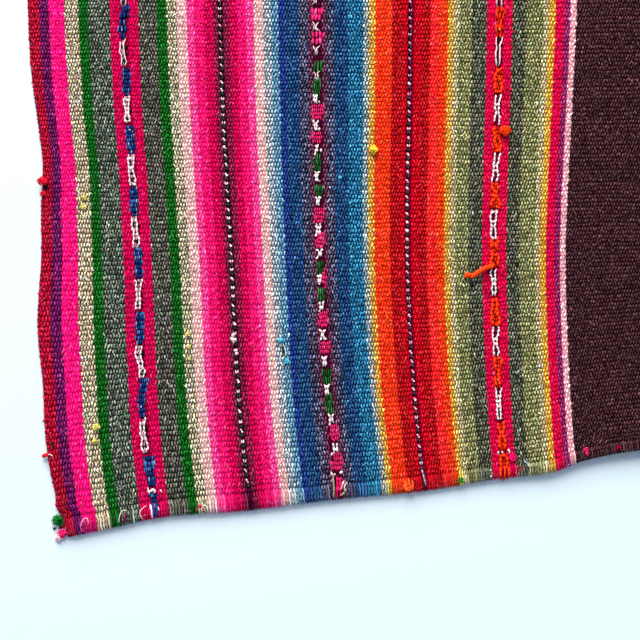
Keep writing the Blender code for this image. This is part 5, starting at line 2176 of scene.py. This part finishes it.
SMALL_TUFTS = table(Tuft,
    (373, 150, 3.8, Wool.KNOT_YELLOW, 32), (84, 198, 2.6, Wool.LEMON, 20), (84, 207, 2.4, Wool.LEMON, 18),
    (97, 427, 3.2, Wool.LEMON, 26), (95, 441, 2.6, Wool.LEMON, 20), (188, 334, 2, Wool.LEMON, 12),
    (189, 347, 2, Wool.LEMON, 12), (190, 359, 1.8, Wool.LEMON, 12), (252, 345, 2.6, Wool.HOT_ROSE, 16, 0.4),
    (340, 177, 1.7, Wool.CYAN, 12), (281, 341, 2.6, Wool.CYAN, 16), (287, 361, 2.6, Wool.CYAN, 16),
    (505, 130.8, 4.2, Wool.PATTERN_ORANGE, 56, 0.85), (43, 182, 4.4, Wool.LOOSE_RED, 26, 0.7),
    (46, 187, 2, Wool.BLACK, 10), (43, 194, 2.8, Wool.LOOSE_RED, 16, 0.7),
    (408, 487, 4, Wool.ORANGE, 24, 0.5), (461, 480, 2.8, Wool.LEAF, 16, 0.6),
    (585.6, 449.4, 2.3, Wool.ROSE, 26, 0.7), (586.4, 453, 1.9, Wool.ROSE, 20, 0.7),
    (583.4, 445.5, 1.3, Wool.GREY_MAUVE, 8, 0.6), (513.2, 457.5, 3.4, Wool.CERISE, 34, 0.4),
    (618, 447.5, 1.9, Wool.RED_GROUND, 18, 0.7), (616, 451, 1.2, Wool.BLACK, 10, 0.7),
    (62.6, 527.2, 2.2, Wool.CRIMSON, 14, 0.6), (59.6, 528, 1.5, Wool.BLACK, 8, 0.6),
)
CORNER_GREEN = table(Tuft,
    (57.2, 521, 4.4, Wool.GREEN, 70), (53.5, 528.8, 1.4, Wool.BLACK, 10, 0.6),
)
CORNER_PINK = table(Tuft,
    (62, 533.5, 3.6, Wool.ROSE, 50), (57.8, 537.5, 3.6, Wool.EDGE_PINK, 34, 0.6),
)


def build_panel(shape: PanelShape, woven: Material, yarn: Material) -> list[Object]:
    """Builds one panel's cloth, ends, selvedge and figures.

    Args:
        shape: the panel's shape.
        woven: the weave's material.
        yarn: the yarns' material.

    Returns:
        The panel's pieces, its sheet first.
    """
    columns = (
        ("figure_blue", Figure.BLUE_AND_WHITE, BLUE_MOTIFS, 14.0, 2),
        ("figure_rose", Figure.ROSE_AND_GREEN, ROSE_MOTIFS, 6.0, 3),
        ("figure_orange", Figure.ORANGE_AND_WHITE, ORANGE_MOTIFS, 14.0, 2),
    )
    twists = (
        ("twist_green", Figure.GREEN_TWIST, TWIST_GREEN),
        ("twist_mauve", Figure.MAUVE_TWIST, TWIST_MAUVE),
    )
    pieces = [ClothPanel(shape).make(woven)]
    end = shape.name.removeprefix("panel_")
    pieces.append(Heading(f"heading_front_{end}", shape).make(yarn))
    pieces.append(Heading(f"heading_back_{end}", shape, at_back=True).make(yarn))
    pieces.append(SelvedgeTurns(f"selvedge_turns_{end}", shape).make(yarn))
    for name, figure, motifs, repeat, fresh in columns:
        pieces.append(FigureColumn(f"{name}_{end}", shape, figure, motifs, repeat, fresh).make(yarn))
    for name, figure, spots in twists:
        pieces.append(TwistColumn(f"{name}_{end}", shape, figure, **spots).make(yarn))
    return pieces


def main() -> None:
    """Builds the dressed cloth and the studio, in order."""
    logging.basicConfig(level=logging.INFO, format="%(message)s")
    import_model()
    low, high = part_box("centre_seam")
    middle = ((low.x + high.x) / 2, (low.y + high.y) / 2)
    left = PanelShape("panel_left", -1, FRONT_LEFT, BACK_LEFT, LEFT_SELVEDGE, LEFT_SWAY, *middle)
    right = PanelShape("panel_right", 1, FRONT_RIGHT, BACK_RIGHT, RIGHT_SELVEDGE, RIGHT_SWAY, *middle)
    woven, yarn = WovenFinish().make(), YarnFinish().make()
    left_pieces = build_panel(left, woven, yarn)
    right_pieces = build_panel(right, woven, yarn)
    left_pieces += WarpFloats(left).make(yarn)
    seam = CentreSeam("seam_stitches", *middle).make(yarn)
    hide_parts("centre_seam")
    frame = PhotoFrame(left)
    left_pieces.append(LooseThreads("loose_threads", frame, THREADS).make(yarn))
    left_pieces.append(Tufts("small_tufts", frame, SMALL_TUFTS).make(yarn))
    left_pieces.append(Fuzz("wool_fuzz", frame).make(yarn))
    loose = LooseThreads("loose_orange_yarn", frame, LOOSE_YARN, "orange_wool").make(yarn)
    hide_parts("loose_yarn_end")
    green = Tufts("tuft_green", frame, CORNER_GREEN, "green_wool").make(yarn)
    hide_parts("corner_tuft_green")
    pink = Tufts("tuft_pink", frame, CORNER_PINK, "pink_wool").make(yarn)
    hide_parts("corner_tuft_pink")
    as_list(left_pieces[1:])
    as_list(right_pieces[1:])
    Studio(frame).make()


if __name__ == "__main__":
    main()
